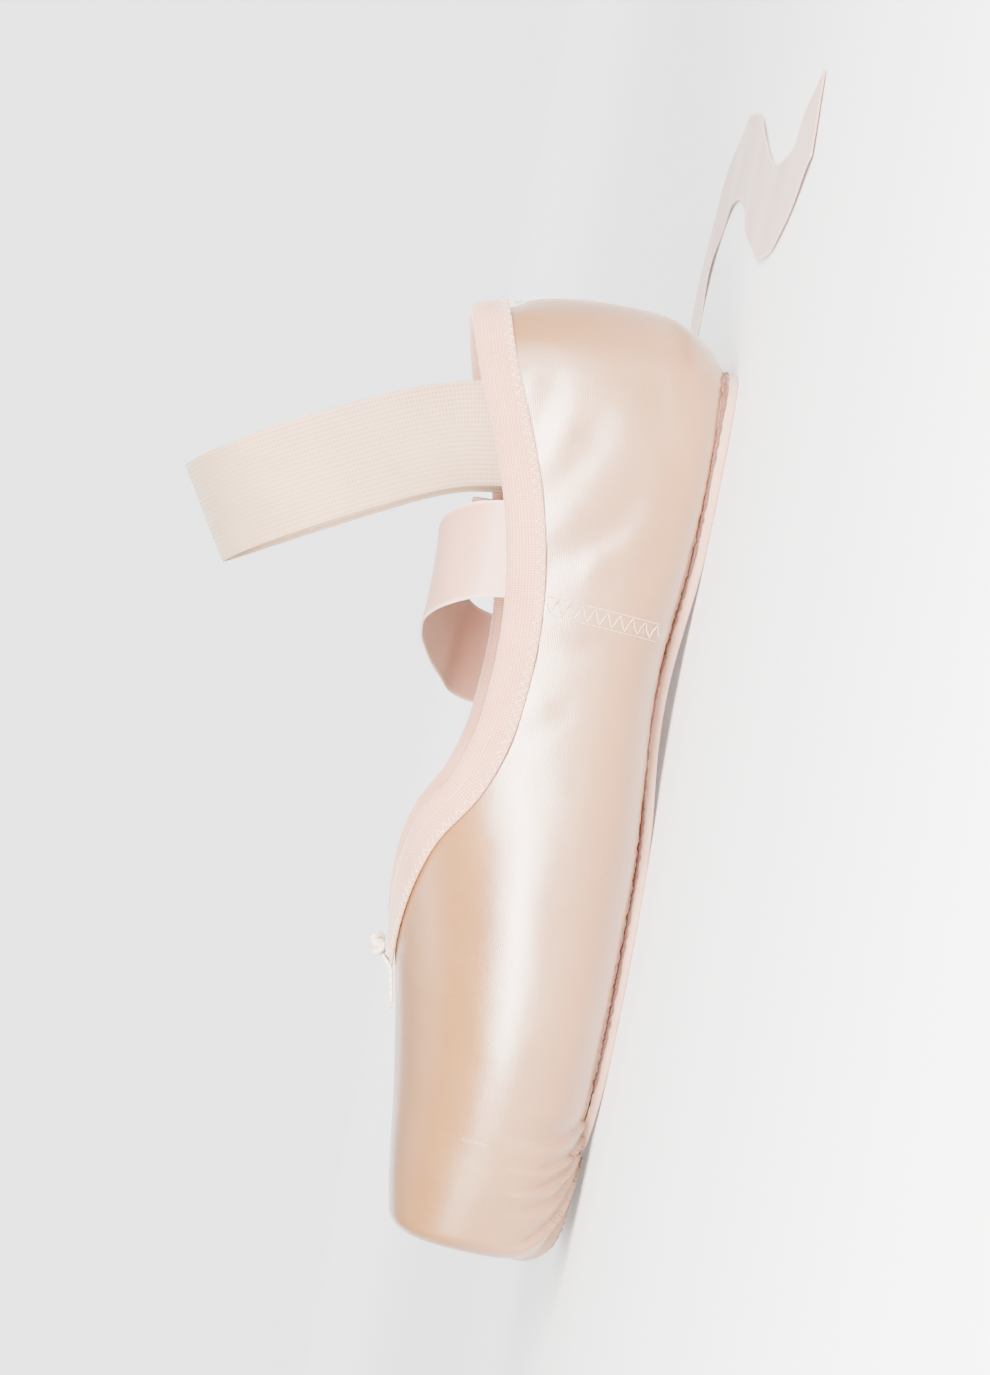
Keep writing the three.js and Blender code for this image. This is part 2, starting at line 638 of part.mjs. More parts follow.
const group = new THREE.Group();
function place(name, geometry, finish) {
  const mesh = new THREE.Mesh(geometry, new THREE.MeshStandardMaterial(finish));
  mesh.name = name;
  group.add(mesh);
}
place("upper", geometryOf(upper), satin);
place("outsole", geometryOf(soleShape(0)), leather);
place("insole", geometryOf(insole), lining);
place("collar_binding", geometryOf(bindingSolid()), bindingCloth);
place("drawstring_knot", knotGeometry(), elasticCloth);
place("ankle_elastic", geometryOf(elasticSolid()), elasticCloth);
place("ribbon_left", geometryOf(ribbonSolid(RIBBON_LEFT, [0.29, 0.36])), ribbonSatin);
place("ribbon_right", geometryOf(ribbonSolid(RIBBON_RIGHT, [0.19, 0.26])), ribbonSatin);

export default group;
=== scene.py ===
"""Pointe shoe, standing empty on its sole with its ribbons let down.

Shapes are in millimetres until put(). The toe points to -Y, and stations run from the flat
platform at the toe (0) to the back of the heel (230).
"""

import bpy
import numpy as np
from mathutils import Matrix, Vector


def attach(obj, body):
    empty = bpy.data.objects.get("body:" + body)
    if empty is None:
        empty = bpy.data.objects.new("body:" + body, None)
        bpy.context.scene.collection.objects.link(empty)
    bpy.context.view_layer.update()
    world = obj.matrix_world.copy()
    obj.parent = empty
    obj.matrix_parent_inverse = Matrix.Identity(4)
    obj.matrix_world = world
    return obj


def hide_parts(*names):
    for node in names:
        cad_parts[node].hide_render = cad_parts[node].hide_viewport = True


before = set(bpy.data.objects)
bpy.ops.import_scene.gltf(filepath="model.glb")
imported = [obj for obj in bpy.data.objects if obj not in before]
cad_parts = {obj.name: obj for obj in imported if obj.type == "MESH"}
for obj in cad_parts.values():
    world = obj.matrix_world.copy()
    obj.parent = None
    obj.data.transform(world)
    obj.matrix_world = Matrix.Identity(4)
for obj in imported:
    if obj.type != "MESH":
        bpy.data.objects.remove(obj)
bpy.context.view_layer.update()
MM = 0.001

# ---- Last ----
# The form that the shoe is made on: a flat platform at the toe, a boxy forefoot, a waist and a
# round heel. Every sewn piece is laid on it, so its surface comes first.
LENGTH = 230.0
PLATFORM_EDGE = 4.0  # radius of the edge round the platform
# Station, half width, height of the widest line, bottom, top, squareness below and above.
LAST = np.array([
    (0, 27.2, 23.5, 5, 43.5, 2.7, 2.7), (8, 30.4, 22.5, 2.9, 45.1, 2.7, 2.6),
    (18, 34.2, 21.5, 2, 46.7, 2.6, 2.45), (30, 38.2, 20.5, 1.6, 48.3, 2.6, 2.35),
    (45, 42.1, 19.8, 1.2, 50.8, 2.6, 2.3), (60, 44.4, 19.2, 1, 53.6, 2.6, 2.25),
    (75, 45, 19, 0.9, 56.9, 2.6, 2.2), (95, 43.2, 19.5, 1.2, 61.8, 2.6, 2.2),
    (115, 39.2, 20.5, 3, 66.8, 2.6, 2.2), (135, 35.6, 21.5, 4.3, 71.2, 2.6, 2.2),
    (150, 33.8, 22, 4.2, 74, 2.7, 2.2), (170, 32, 22.5, 2.6, 77, 3, 2.25),
    (190, 30.2, 23.2, 1.3, 78.8, 3.4, 2.3), (204, 28.3, 24, 1.2, 78.4, 3.5, 2.3),
    (214, 24.9, 25, 1.7, 74.8, 3.3, 2.2), (221.5, 20, 26, 5.6, 66, 2.8, 2.1),
    (226.5, 14.2, 26.7, 11.4, 54, 2.4, 2), (229.2, 8, 27, 18.4, 41.5, 2.1, 2),
    (LENGTH, 0, 27, 27, 27, 2, 2)])


def through(knots, values, at, closes=False):
    """A cubic between each two knots. A knot's slope is the mean of the rates beside it, each
    weighted by the other's length. A curve that closes turns about its last knot."""
    x, y = np.array(knots, float), np.array(values, float)
    last = len(x) - 1
    if closes:
        x, y = np.append(x, 2 * x[-1] - x[-2]), np.append(y, 2 * y[-1] - y[-2])
    gap = np.diff(x)
    rate = np.diff(y) / gap
    inner = (rate[:-1] * gap[1:] + rate[1:] * gap[:-1]) / (gap[:-1] + gap[1:])
    slope = np.concatenate([rate[:1], inner, rate[-1:]])
    i = np.clip(np.searchsorted(x[:last + 1], at) - 1, 0, last - 1)
    t = np.clip((at - x[i]) / gap[i], 0, 1)
    start = y[i] * (1 + 2 * t) * (1 - t) ** 2 + slope[i] * gap[i] * t * (1 - t) ** 2
    return start + y[i + 1] * (3 - 2 * t) * t ** 2 + slope[i + 1] * gap[i] * (t - 1) * t ** 2


def smooth(value, low, high):
    """0 below low, 1 above high, and 3t^2 - 2t^3 between them."""
    t = np.clip((value - low) / (high - low), 0, 1)
    return t * t * (3 - 2 * t)


def run_along(path):
    """Length along a path up to each of its points."""
    return np.concatenate([[0], np.cumsum(np.linalg.norm(np.diff(path, axis=0), axis=1))])


def unit(vectors):
    return vectors / np.maximum(np.linalg.norm(vectors, axis=-1, keepdims=True), 1e-9)


SECTION_AT = run_along(LAST[:, [0, 1, 4]])
fine_knots = np.linspace(0, SECTION_AT[-1], 8001)
EDGE_TRAVEL = PLATFORM_EDGE * np.pi / 2
EDGE_KNOT = np.interp(PLATFORM_EDGE, through(SECTION_AT, LAST[:, 0], fine_knots), fine_knots)
FULL_TRAVEL = EDGE_TRAVEL + SECTION_AT[-1] - EDGE_KNOT


def section(travel):
    """LAST's columns at a travel over it. Travel runs a quarter turn round the platform's edge,
    where station = r(1 - cos) and the inset is r(1 - sin), and then from section to section."""
    turn = np.clip(travel / EDGE_TRAVEL, 0, 1) * np.pi / 2
    on_edge = travel < EDGE_TRAVEL
    knot = np.where(on_edge, EDGE_KNOT * (1 - np.cos(turn)), EDGE_KNOT + travel - EDGE_TRAVEL)
    inset = np.where(on_edge, PLATFORM_EDGE * (1 - np.sin(turn)), 0)
    cut = [through(SECTION_AT, LAST[:, i], knot, i in (1, 3, 4)) for i in range(7)]
    station = np.where(on_edge, PLATFORM_EDGE * (1 - np.cos(turn)), cut[0])
    return station, cut[1] - inset, cut[2], cut[3] + inset, cut[4] - inset, cut[5], cut[6]


def on_last(travel, angle):
    """Two half super-ellipses: reach = (|cos/half width|^n + |sin/rise|^n)^(-1/n) from the widest
    line's middle. Travel from -1 to 0 runs over the platform, from its middle to its edge."""
    station, half, widest, bottom, top, below, above = section(travel)
    across, up = np.cos(angle), np.sin(angle)
    rise = np.where(up >= 0, top - widest, widest - bottom)
    power = np.where(up >= 0, above, below)
    reach = (np.abs(across / half) ** power + np.abs(up / rise) ** power) ** (-1 / power)
    reach = reach * np.clip(1 + travel, 0, 1)
    return np.stack([reach * across, station - LENGTH / 2, widest + reach * up], -1)


def slopes(travel, angle):
    """How a point on the last moves with travel and with angle, by small differences."""
    step = 0.01
    low, high = travel - step, np.minimum(travel + step, FULL_TRAVEL - step)
    along = (on_last(high, angle) - on_last(low, angle)) / (high - low)[..., None]
    return along, (on_last(travel, angle + step) - on_last(travel, angle - step)) / (2 * step)


def outward(travel, angle):
    """The unit normal, which on the platform is the toe's own way."""
    flat = (travel <= 0)[..., None]
    return np.where(flat, np.array([0.0, -1.0, 0.0]), unit(np.cross(*slopes(travel, angle))))


fine_travel = np.linspace(0, FULL_TRAVEL, 8001)
travel_stations = section(fine_travel)[0]


def travel_at(station):
    return np.interp(station, travel_stations, fine_travel)


# ---- Upper ----
# Satin over canvas, cut as a vamp and two quarters, lasted and stiffened with paste round the toes.
# It is turned under all round and sewn to the sole, and at the toe the slack is laid in pleats.
BOX_WALL, QUARTER_WALL = 3.2, 1.8  # thick stiffened box, thin sides and heel
BOX_END, QUARTER_START = 55, 105
LINING_CLOTH = 0.7
GAP = 0.3  # between pieces that meet
MARGIN, MARGIN_WIDTH = 2.0, 7.0  # the turned-under edge
THROAT, THROAT_SPREAD, THROAT_LENGTH, THROAT_ROUND = 70, 52, 44, 1.5
THROAT_BLEND = (98, 114)
COLLAR = np.array([(98, 55), (105, 51.7), (112, 48.6), (120, 46.2), (135, 44.4), (150, 44.4),
                   (165, 46.4), (180, 50.2), (195, 55.8), (208, 61), (222, 65.2)])
SOLE_TOE, SOLE_HEEL = 27, 218
FOREFOOT_FLAT, HEEL_START = (55, 95), 178
TOE_SPRING, ARCH_LIFT = 1.4, 2.6
SOLE_PLAN = np.array([
    (SOLE_TOE, 11.5), (27.5, 14.2), (29, 16.4), (33, 18.9), (42, 22.4), (58, 26), (74, 27.2),
    (90, 25.4), (106, 20.8), (122, 16.6), (140, 14.4), (156, 14.8), (172, 17), (188, 19.3),
    (200, 20), (208, 19.2), (213.5, 17), (216.5, 13.8), (SOLE_HEEL, 10)])


def wall_at(station):
    return BOX_WALL + (QUARTER_WALL - BOX_WALL) * smooth(station, BOX_END, QUARTER_START)


def sole_half(station):
    return through(*SOLE_PLAN.T, np.clip(station, SOLE_TOE, SOLE_HEEL))


def sole_bottom(station):
    """Flat at the forefoot and the heel, a square law up to the toe, and a sine squared arch."""
    spring = TOE_SPRING * (np.maximum(FOREFOOT_FLAT[0] - station, 0) / (FOREFOOT_FLAT[0] - SOLE_TOE)) ** 2
    share = np.clip((station - FOREFOOT_FLAT[1]) / (HEEL_START - FOREFOOT_FLAT[1]), 0, 1)
    return spring + ARCH_LIFT * np.sin(np.pi * share) ** 2


def sole_top(station):
    held = np.clip(station, SOLE_TOE, SOLE_HEEL)
    return sole_bottom(held) + 2.3 + 0.7 * (held - SOLE_TOE) / (SOLE_HEEL - SOLE_TOE)


def inside_floor(station):
    return sole_top(station) + GAP + MARGIN


def oval(share, power):
    """Height of a super-ellipse of size 1 at a share of its half width."""
    return (1 - share ** power) ** (1 / power)


def angle_out(travel, x, up=True):
    """The angle on the last's top, or its underside, that lies x out from the middle."""
    _, half, widest, bottom, top, below, above = section(travel)
    rise, power = (top - widest, above) if up else (bottom - widest, below)
    return np.arctan2(rise * oval(np.clip(np.abs(x) / half, 0, 1), power), x)


def angle_high(travel, z):
    """The angle on the last's +X side at a height."""
    _, half, widest, bottom, top, below, above = section(travel)
    rise = np.where(z >= widest, top - widest, widest - bottom)
    z = np.clip(z - widest, -rise, rise)
    return np.arctan2(z, half * oval(np.abs(z) / rise, np.where(z >= 0, above, below)))


def rim_angle(station, travel):
    """The rim's angle on the last. By the throat its plan is a rounded V, x^2 = s(s + 2r), where s
    spreads out as 1 - e^-t. Behind it the collar's height gives the angle."""
    spread = THROAT_SPREAD * (1 - np.exp((THROAT - np.maximum(station, THROAT)) / THROAT_LENGTH))
    x = np.minimum(np.sqrt(spread * (spread + 2 * THROAT_ROUND)), section(travel)[1] * 0.999)
    by_plan, by_height = angle_out(travel, x), angle_high(travel, through(*COLLAR.T, station))
    angle = by_plan + (by_height - by_plan) * smooth(station, *THROAT_BLEND)
    return np.where(station <= THROAT, np.pi / 2, angle)


back = np.linspace(travel_at(205), FULL_TRAVEL - 1, 4001)
back_station, _, _, _, back_top, _, _ = section(back)
HEEL_TOP_TRAVEL = np.interp(0, through(*COLLAR.T, back_station) - back_top, back)


def spaced(start, end, count, ease=0.0):
    """Places from start up to end, not reaching it, closer together towards both by ease."""
    share = np.arange(count) / count
    return start + (end - start) * ((1 - ease) * share + ease * (1 - np.cos(np.pi * share)) / 2)


def lasted_grid(density, rows):
    """Travels, angles and outline of the +X half of the last's skin, in columns along it and rows
    round it. The rows run from the sole's outline to the rim, evenly along the surface."""
    toe, heel = travel_at(SOLE_TOE - GAP), travel_at(SOLE_HEEL + GAP)
    spans = [(-1, 0, 12, 0), (0, EDGE_TRAVEL, 8, 0), (EDGE_TRAVEL, toe, 46, 0),
             (toe, travel_at(THROAT), 56, 0.4), (travel_at(THROAT), heel, 108, 0.75),
             (heel, HEEL_TOP_TRAVEL, 6, 0), (HEEL_TOP_TRAVEL, FULL_TRAVEL, 32, 0)]
    parts = [spaced(a, b, max(3, int(n * density)), ease) for a, b, n, ease in spans]
    # At each end of the sole two columns share one travel: one on the last, one under the sole.
    travel = np.concatenate(parts[:3] + [[toe]] + parts[3:5] + [[heel]] + parts[5:] + [[FULL_TRAVEL - 0.02]])
    first = sum(map(len, parts[:3])) + 1
    under = np.zeros(len(travel), bool)
    under[first:first + len(parts[3]) + len(parts[4]) + 1] = True
    station, half = section(travel)[:2]
    ahead = 5 + (SOLE_PLAN[0, 1] + GAP - 5) * np.clip(station / (SOLE_TOE - GAP), 0, 1)
    behind = np.minimum(SOLE_PLAN[-1, 1] + GAP, 0.6 * half)
    ends = np.where(station < (SOLE_TOE + SOLE_HEEL) / 2, ahead, behind)
    outline = np.where(under, sole_half(station) + GAP, ends)
    low = angle_out(travel, outline, up=False)
    opening = (travel > travel_at(THROAT)) & (travel < HEEL_TOP_TRAVEL)
    high = np.where(opening, rim_angle(station, travel), np.pi / 2)
    trial = low[:, None] + (high - low)[:, None] * np.linspace(0, 1, 161)
    skin = on_last(np.maximum(travel, 0)[:, None] + 0 * trial, trial)
    run = np.array([run_along(line) for line in skin])
    wanted = np.linspace(0, 1, rows)
    angle = np.array([np.interp(wanted * r[-1], r, a) for r, a in zip(run, trial)])
    return travel, angle, run[:, -1:] * wanted, outline, under


def grid_faces(columns, rows):
    """Four-cornered faces of a grid, turned so that column crossed with row points out."""
    corner = np.arange(columns * rows).reshape(columns, rows)
    faces = [corner[:-1, :-1], corner[1:, :-1], corner[1:, 1:], corner[:-1, 1:]]
    return np.stack(faces, -1).reshape(-1, 4)


def both_sides(sheet):
    """The +X half and the same mirrored."""
    return np.stack([sheet, sheet * [-1, 1, 1]])


def shell(outer, inner, faces, bare=None):
    """A closed wall between two sheets of the same faces, or two pairs of mirrored ones: the outer,
    the inner turned round, and a face across each edge that only one face has. Points that lie
    together in the bare outer sheet become one. source is each point's place in the grid."""
    outer, inner, bare = (s.reshape(-1, 3) for s in (outer, inner, outer if bare is None else bare))
    if faces.max() + 1 < len(outer):
        faces = np.concatenate([faces, faces[:, ::-1] + len(outer) // 2])
    _, first, merged = np.unique(np.round(bare, 3), axis=0, return_index=True, return_inverse=True)
    faces = merged.reshape(-1)[faces]
    clash = (faces == np.roll(faces, -1, 1)).sum(1) > 1
    across = (faces[:, 0] == faces[:, 2]) | (faces[:, 1] == faces[:, 3])
    faces = faces[~clash & ~across]
    edges = np.stack([faces, np.roll(faces, -1, 1)], -1).reshape(-1, 2)
    edges = edges[edges[:, 0] != edges[:, 1]]
    _, which, count = np.unique(np.sort(edges, 1), axis=0, return_inverse=True, return_counts=True)
    rim = edges[count[which.reshape(-1)] == 1]
    size = len(first)
    walls = np.stack([rim[:, 1], rim[:, 0], rim[:, 0] + size, rim[:, 1] + size], 1)
    quads = np.concatenate([faces, faces[:, ::-1] + size, walls])
    return (np.concatenate([outer[first], inner[first]]), quads), np.concatenate([first, first])


def put(name, shape, material, stands_for=(), cloth=None, marks=None, sharp=None):
    """Puts points and faces into a mesh object, in metres. Corners of a face that fall together
    are dropped. cloth is each point's place on the flat cloth, and marks are for the material."""
    points, faces = shape
    mesh = bpy.data.meshes.new(name)
    again = faces == np.roll(faces, -1, 1)
    bent = again.any(1)
    whole, three = faces[~bent], faces[bent][~again[bent]]
    mesh.vertices.add(len(points))
    mesh.vertices.foreach_set("co", (points * MM).astype(np.float32).ravel())
    loops = np.concatenate([whole.ravel(), three]).astype(np.int32)
    sizes = np.repeat([4, 3], [len(whole), len(three) // 3])
    starts = np.cumsum(sizes) - sizes
    mesh.loops.add(len(loops))
    mesh.loops.foreach_set("vertex_index", loops)
    mesh.polygons.add(len(sizes))
    mesh.polygons.foreach_set("loop_start", starts.astype(np.int32))
    mesh.polygons.foreach_set("use_smooth", np.ones(len(sizes), bool))
    if cloth is not None:
        layer = mesh.uv_layers.new(name="cloth")
        layer.data.foreach_set("uv", (cloth * MM)[loops].astype(np.float32).ravel())
    for mark, values in (marks or {}).items():
        mesh.attributes.new(mark, "FLOAT", "POINT").data.foreach_set("value", values.astype(np.float32))
    mesh.update(calc_edges=True)
    mesh.validate()
    if sharp:
        mesh.set_sharp_from_angle(angle=np.radians(sharp))
    mesh.materials.append(material)
    piece = bpy.data.objects.new(name, mesh)
    bpy.context.scene.collection.objects.link(piece)
    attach(piece, "root")
    if stands_for:
        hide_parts(*stands_for)
    return piece


# Soft troughs and ridges in the satin, seen from the side. Side, station and height at each end,
# half width, and height of the ridge (a trough is below 0).
CREASES = np.array([
    (1, 158, 41, 186, 17, 4.5, -0.55), (1, 163, 30, 176, 12, 3.0, 0.35),
    (1, 172, 46, 200, 30, 5.0, -0.5), (1, 186, 50, 210, 42, 4.0, -0.45),
    (1, 142, 40, 151, 14, 3.2, -0.4), (1, 128, 38, 140, 12, 4.5, 0.3),
    (1, 118, 42, 131, 24, 3.5, -0.3), (1, 196, 12, 214, 22, 4.0, -0.45),
    (1, 160, 16, 196, 9, 3.0, -0.35), (1, 96, 12, 128, 15, 4.0, -0.35),
    (1, 14, 30, 52, 38, 9.0, -0.35), (1, 60, 22, 100, 30, 8.0, 0.25),
    (-1, 155, 40, 181, 20, 4.5, -0.5), (-1, 170, 44, 196, 26, 5.0, -0.5),
    (-1, 140, 38, 150, 12, 3.5, -0.4), (-1, 120, 40, 134, 20, 4.0, 0.35),
    (-1, 186, 46, 212, 36, 4.0, -0.45), (-1, 98, 14, 132, 13, 4.0, -0.35),
    (-1, 20, 26, 60, 34, 9.0, -0.3), (-1, 196, 14, 216, 24, 4.0, -0.4)])
SEAM_STATION, SEAM_SLANT = 153.5, 0.05  # side seam, between vamp and quarter
PLEAT_CENTRE = 37.0  # station that the pleats fan out from
PLEATS, PLEAT_RISE = 15, 2.1
PUCKER_PITCH, TUCK_PITCH = 2.7, 3.4  # along the sole, and under the collar


def seam_offset(station, z):
    return station - SEAM_STATION - SEAM_SLANT * (z - 20)


def pleat_marks(points):
    """Laid pleats: each rises slowly with the bearing round the sole's tip and drops at its fold.
    They are deepest at the sole and die out round the platform's edge. Gives height, and a mask for painted
    shade in the folds."""
    ahead, x, z = PLEAT_CENTRE - (points[..., 1] + LENGTH / 2), points[..., 0], points[..., 2]
    bearing = np.arctan2(x, np.maximum(ahead, 0.01))
    wander = 0.16 * np.sin(5.3 * bearing + 0.7) + 0.02 * np.sin(0.55 * ahead + 3 * bearing)
    turn = (bearing + wander * 0.35) / np.pi * PLEATS + 0.03 * np.abs(x)
    phase = turn - np.floor(turn)
    fold = np.where(phase < 0.84, (phase / 0.84) ** 1.4, 1 - smooth(phase, 0.84, 1.0))
    uneven = 0.75 + 0.25 * np.sin(2.4 * np.floor(turn) + 1)
    side = np.abs(x) / 40
    fade = (1 - smooth(z, 6 + 4 * uneven, 17 + 5 * uneven)) * smooth(ahead, -1.5 - 6 * side, 4)
    fade = fade * (1 - 0.55 * smooth(-points[..., 1], 108, 115.2))
    shade = np.exp(-((phase - 0.97) / 0.07) ** 2) + np.exp(-((phase + 0.03) / 0.06) ** 2)
    return PLEAT_RISE * (fold - 0.45) * fade * uneven, shade * fade


def relief(points, side, from_outline, below_rim):
    """How far the satin stands off the last, as a sum: pleats; creases, each a bell across its line
    that fades at both ends; puckers along the sole; the seams' ridges; and slow unevenness."""
    station, x, z = points[..., 1] + LENGTH / 2, points[..., 0], points[..., 2]
    lift = pleat_marks(points * [side, 1, 1])[0]
    for _, s0, z0, s1, z1, width, height in CREASES[CREASES[:, 0] == side]:
        run = np.hypot(s1 - s0, z1 - z0)
        along = ((station - s0) * (s1 - s0) + (z - z0) * (z1 - z0)) / run
        off = ((station - s0) * (z1 - z0) - (z - z0) * (s1 - s0)) / run + 1.2 * np.sin(along / 7 + s0)
        ends = smooth(along, -width, width * 1.5) * (1 - smooth(along, run - width * 1.5, run + width))
        lift = lift + height * np.exp(-(off / width) ** 2) * ends * smooth(np.abs(x), 4, 12)
    gather = np.sin(2 * np.pi * station / PUCKER_PITCH + 2 * np.sin(station / 9) + side)
    near_sole = np.exp(-np.maximum(from_outline, 0) / 2.6) * (from_outline > -0.5)
    near_sole = near_sole * (1 - smooth(station, SOLE_HEEL, SOLE_HEEL + 1))
    lift = lift + (0.16 * gather - 0.35) * near_sole * smooth(station, 30, 42)
    across = seam_offset(station, z)
    seam = 0.3 * (smooth(across, -2.3, -1.5) - smooth(across, 1.5, 2.3)) - 0.35 * np.exp(-(across / 0.5) ** 2)
    heel = smooth(station, 208, 216) * (0.35 * np.exp(-(x / 1.6) ** 2) - 0.6 * np.exp(-(x / 0.45) ** 2))
    dip = np.exp(-((z - 58) / 5) ** 2 - (x / 13) ** 2) * smooth(station, 212, 220)
    pull = np.sin(x * 1.1) * np.exp(-below_rim / 6) * smooth(station, 212, 220)
    slow = np.sin(station / 11 + side) * np.sin(z / 8 + station / 31) * smooth(np.abs(x), 3, 12)
    tuck = np.sin(2 * np.pi * station / TUCK_PITCH + side) * np.exp(-below_rim / 5) * smooth(np.abs(x), 3, 9)
    lift = lift + seam * smooth(np.abs(x), 8, 12) + heel
    return lift - 1.5 * dip + 0.16 * pull + 0.22 * slow + 0.1 * tuck


def lasted_sheets(density, rows, outer_in, inner_in, folded_under):
    """Both sheets of a layer of the upper, on the +X half. Each lies in from the last by a share of
    the wall and a distance. The bottom is flat over the sole, or stops at the insole."""
    travel, angle, arc, outline, under = lasted_grid(density, rows)
    wide = travel[:, None] + 0 * angle
    skin, out = on_last(wide, angle), outward(wide, angle)
    station = skin[:, :, 1] + LENGTH / 2
    wall, floor = wall_at(station)[..., None], inside_floor(station)
    outer, inner = (skin - out * (share * wall + more) for share, more in (outer_in, inner_in))
    inner[..., 2] = np.maximum(inner[..., 2], floor)
    if not folded_under:
        outer[..., 2] = np.maximum(outer[..., 2], floor)
        return travel, arc, skin, outer, inner, grid_faces(len(travel), rows)
    hole = np.maximum(outline - GAP - MARGIN_WIDTH, outline * 0.3)
    x = np.stack([0 * outline, hole, (hole + outline) / 2, outline * 0.97 + hole * 0.03, outline], 1)
    wide = travel[:, None] + 0 * x
    turn = angle_out(wide, x, up=False)
    below, down = on_last(wide, turn), outward(wide, turn)
    below[..., 0] = np.where(travel[:, None] < 0, below[..., 0], x)
    below[..., 2] = np.where(under[:, None], sole_top(station[:, :1]) + GAP, below[..., 2])
    under_in = below - down * (inner_in[0] * wall[:, :1] + inner_in[1])
    floor = inside_floor(station[:, :1])
    squeeze = inner[:, :1, 0] / np.maximum(skin[:, :1, 0], 1e-6)
    flat_in = np.stack([below[..., 0] * squeeze, inner[:, :1, 1] + 0 * x, floor + 0 * x], -1)
    under_in = np.where(under[:, None, None], flat_in, under_in)
    under_in[..., 2] = np.maximum(under_in[..., 2], floor)
    outer, inner = np.concatenate([below, outer], 1), np.concatenate([under_in, inner], 1)
    arc = np.concatenate([x - outline[:, None], arc], 1)
    faces = grid_faces(len(travel), rows + 5)
    in_hole = (station[:, 0] > SOLE_TOE + MARGIN_WIDTH) & (station[:, 0] < SOLE_HEEL - MARGIN_WIDTH)
    column, row = np.divmod(faces[:, 0], rows + 5)
    return travel, arc, outer, outer, inner, faces[~((row == 0) & in_hole[column])]


def satin_sheets():
    """The satin's two sheets on both sides, before and after relief, with the cloth's own map and
    marks for the pleats' folds (painted shade), the groove over the sole's edge (painted shade and dark
    staining) and the side seam."""
    travel, arc, _, bare, inner, faces = lasted_sheets(1.0, 84, (0, 0), (1, -LINING_CLOTH), True)
    wide = travel[:, None] + 0 * arc
    out = outward(wide, np.arctan2(bare[..., 2] - section(travel)[2][:, None], bare[..., 0]))
    station = bare[..., 1] + LENGTH / 2
    flat_under = (arc < -1e-6) & (station > SOLE_TOE - GAP + 0.01) & (station < SOLE_HEEL)
    sewn = smooth(station, 36, 44) * (1 - smooth(station, SOLE_HEEL, SOLE_HEEL + 0.6))
    # painted shade in the groove over the sole's edge, together with dark staining
    groove = np.exp(-np.maximum(arc, 0) / 0.7) * sewn
    seam = np.exp(-(seam_offset(station, bare[..., 2]) / 0.45) ** 2)
    sheets, shades = [], []
    for side in (1, -1):
        lift = np.where(flat_under, 0, relief(bare, side, arc, arc[:, -1:] - arc))
        sheets.append((bare + out * lift[..., None]) * [side, 1, 1])
        # where the folds get painted shade
        fold = np.clip(pleat_marks(bare * [side, 1, 1])[1], 0, 1)
        shades.append(np.stack([fold, groove, seam], -1).reshape(-1, 3))
    cloth = np.stack([np.where(wide < 0, wide * 24, wide), arc], -1).reshape(-1, 2)
    cloth = np.concatenate([cloth, cloth + [500, 0]])  # the -X side's cloth lies beside the other's
    return np.stack(sheets), inner, bare, faces, cloth, np.concatenate(shades)


def linear(red, green, blue):
    """A colour given as it is seen on a screen, 0 to 255, as light."""
    share = np.array([red, green, blue]) / 255
    light = np.where(share <= 0.04045, share / 12.92, ((share + 0.055) / 1.055) ** 2.4)
    return (*map(float, light), 1.0)


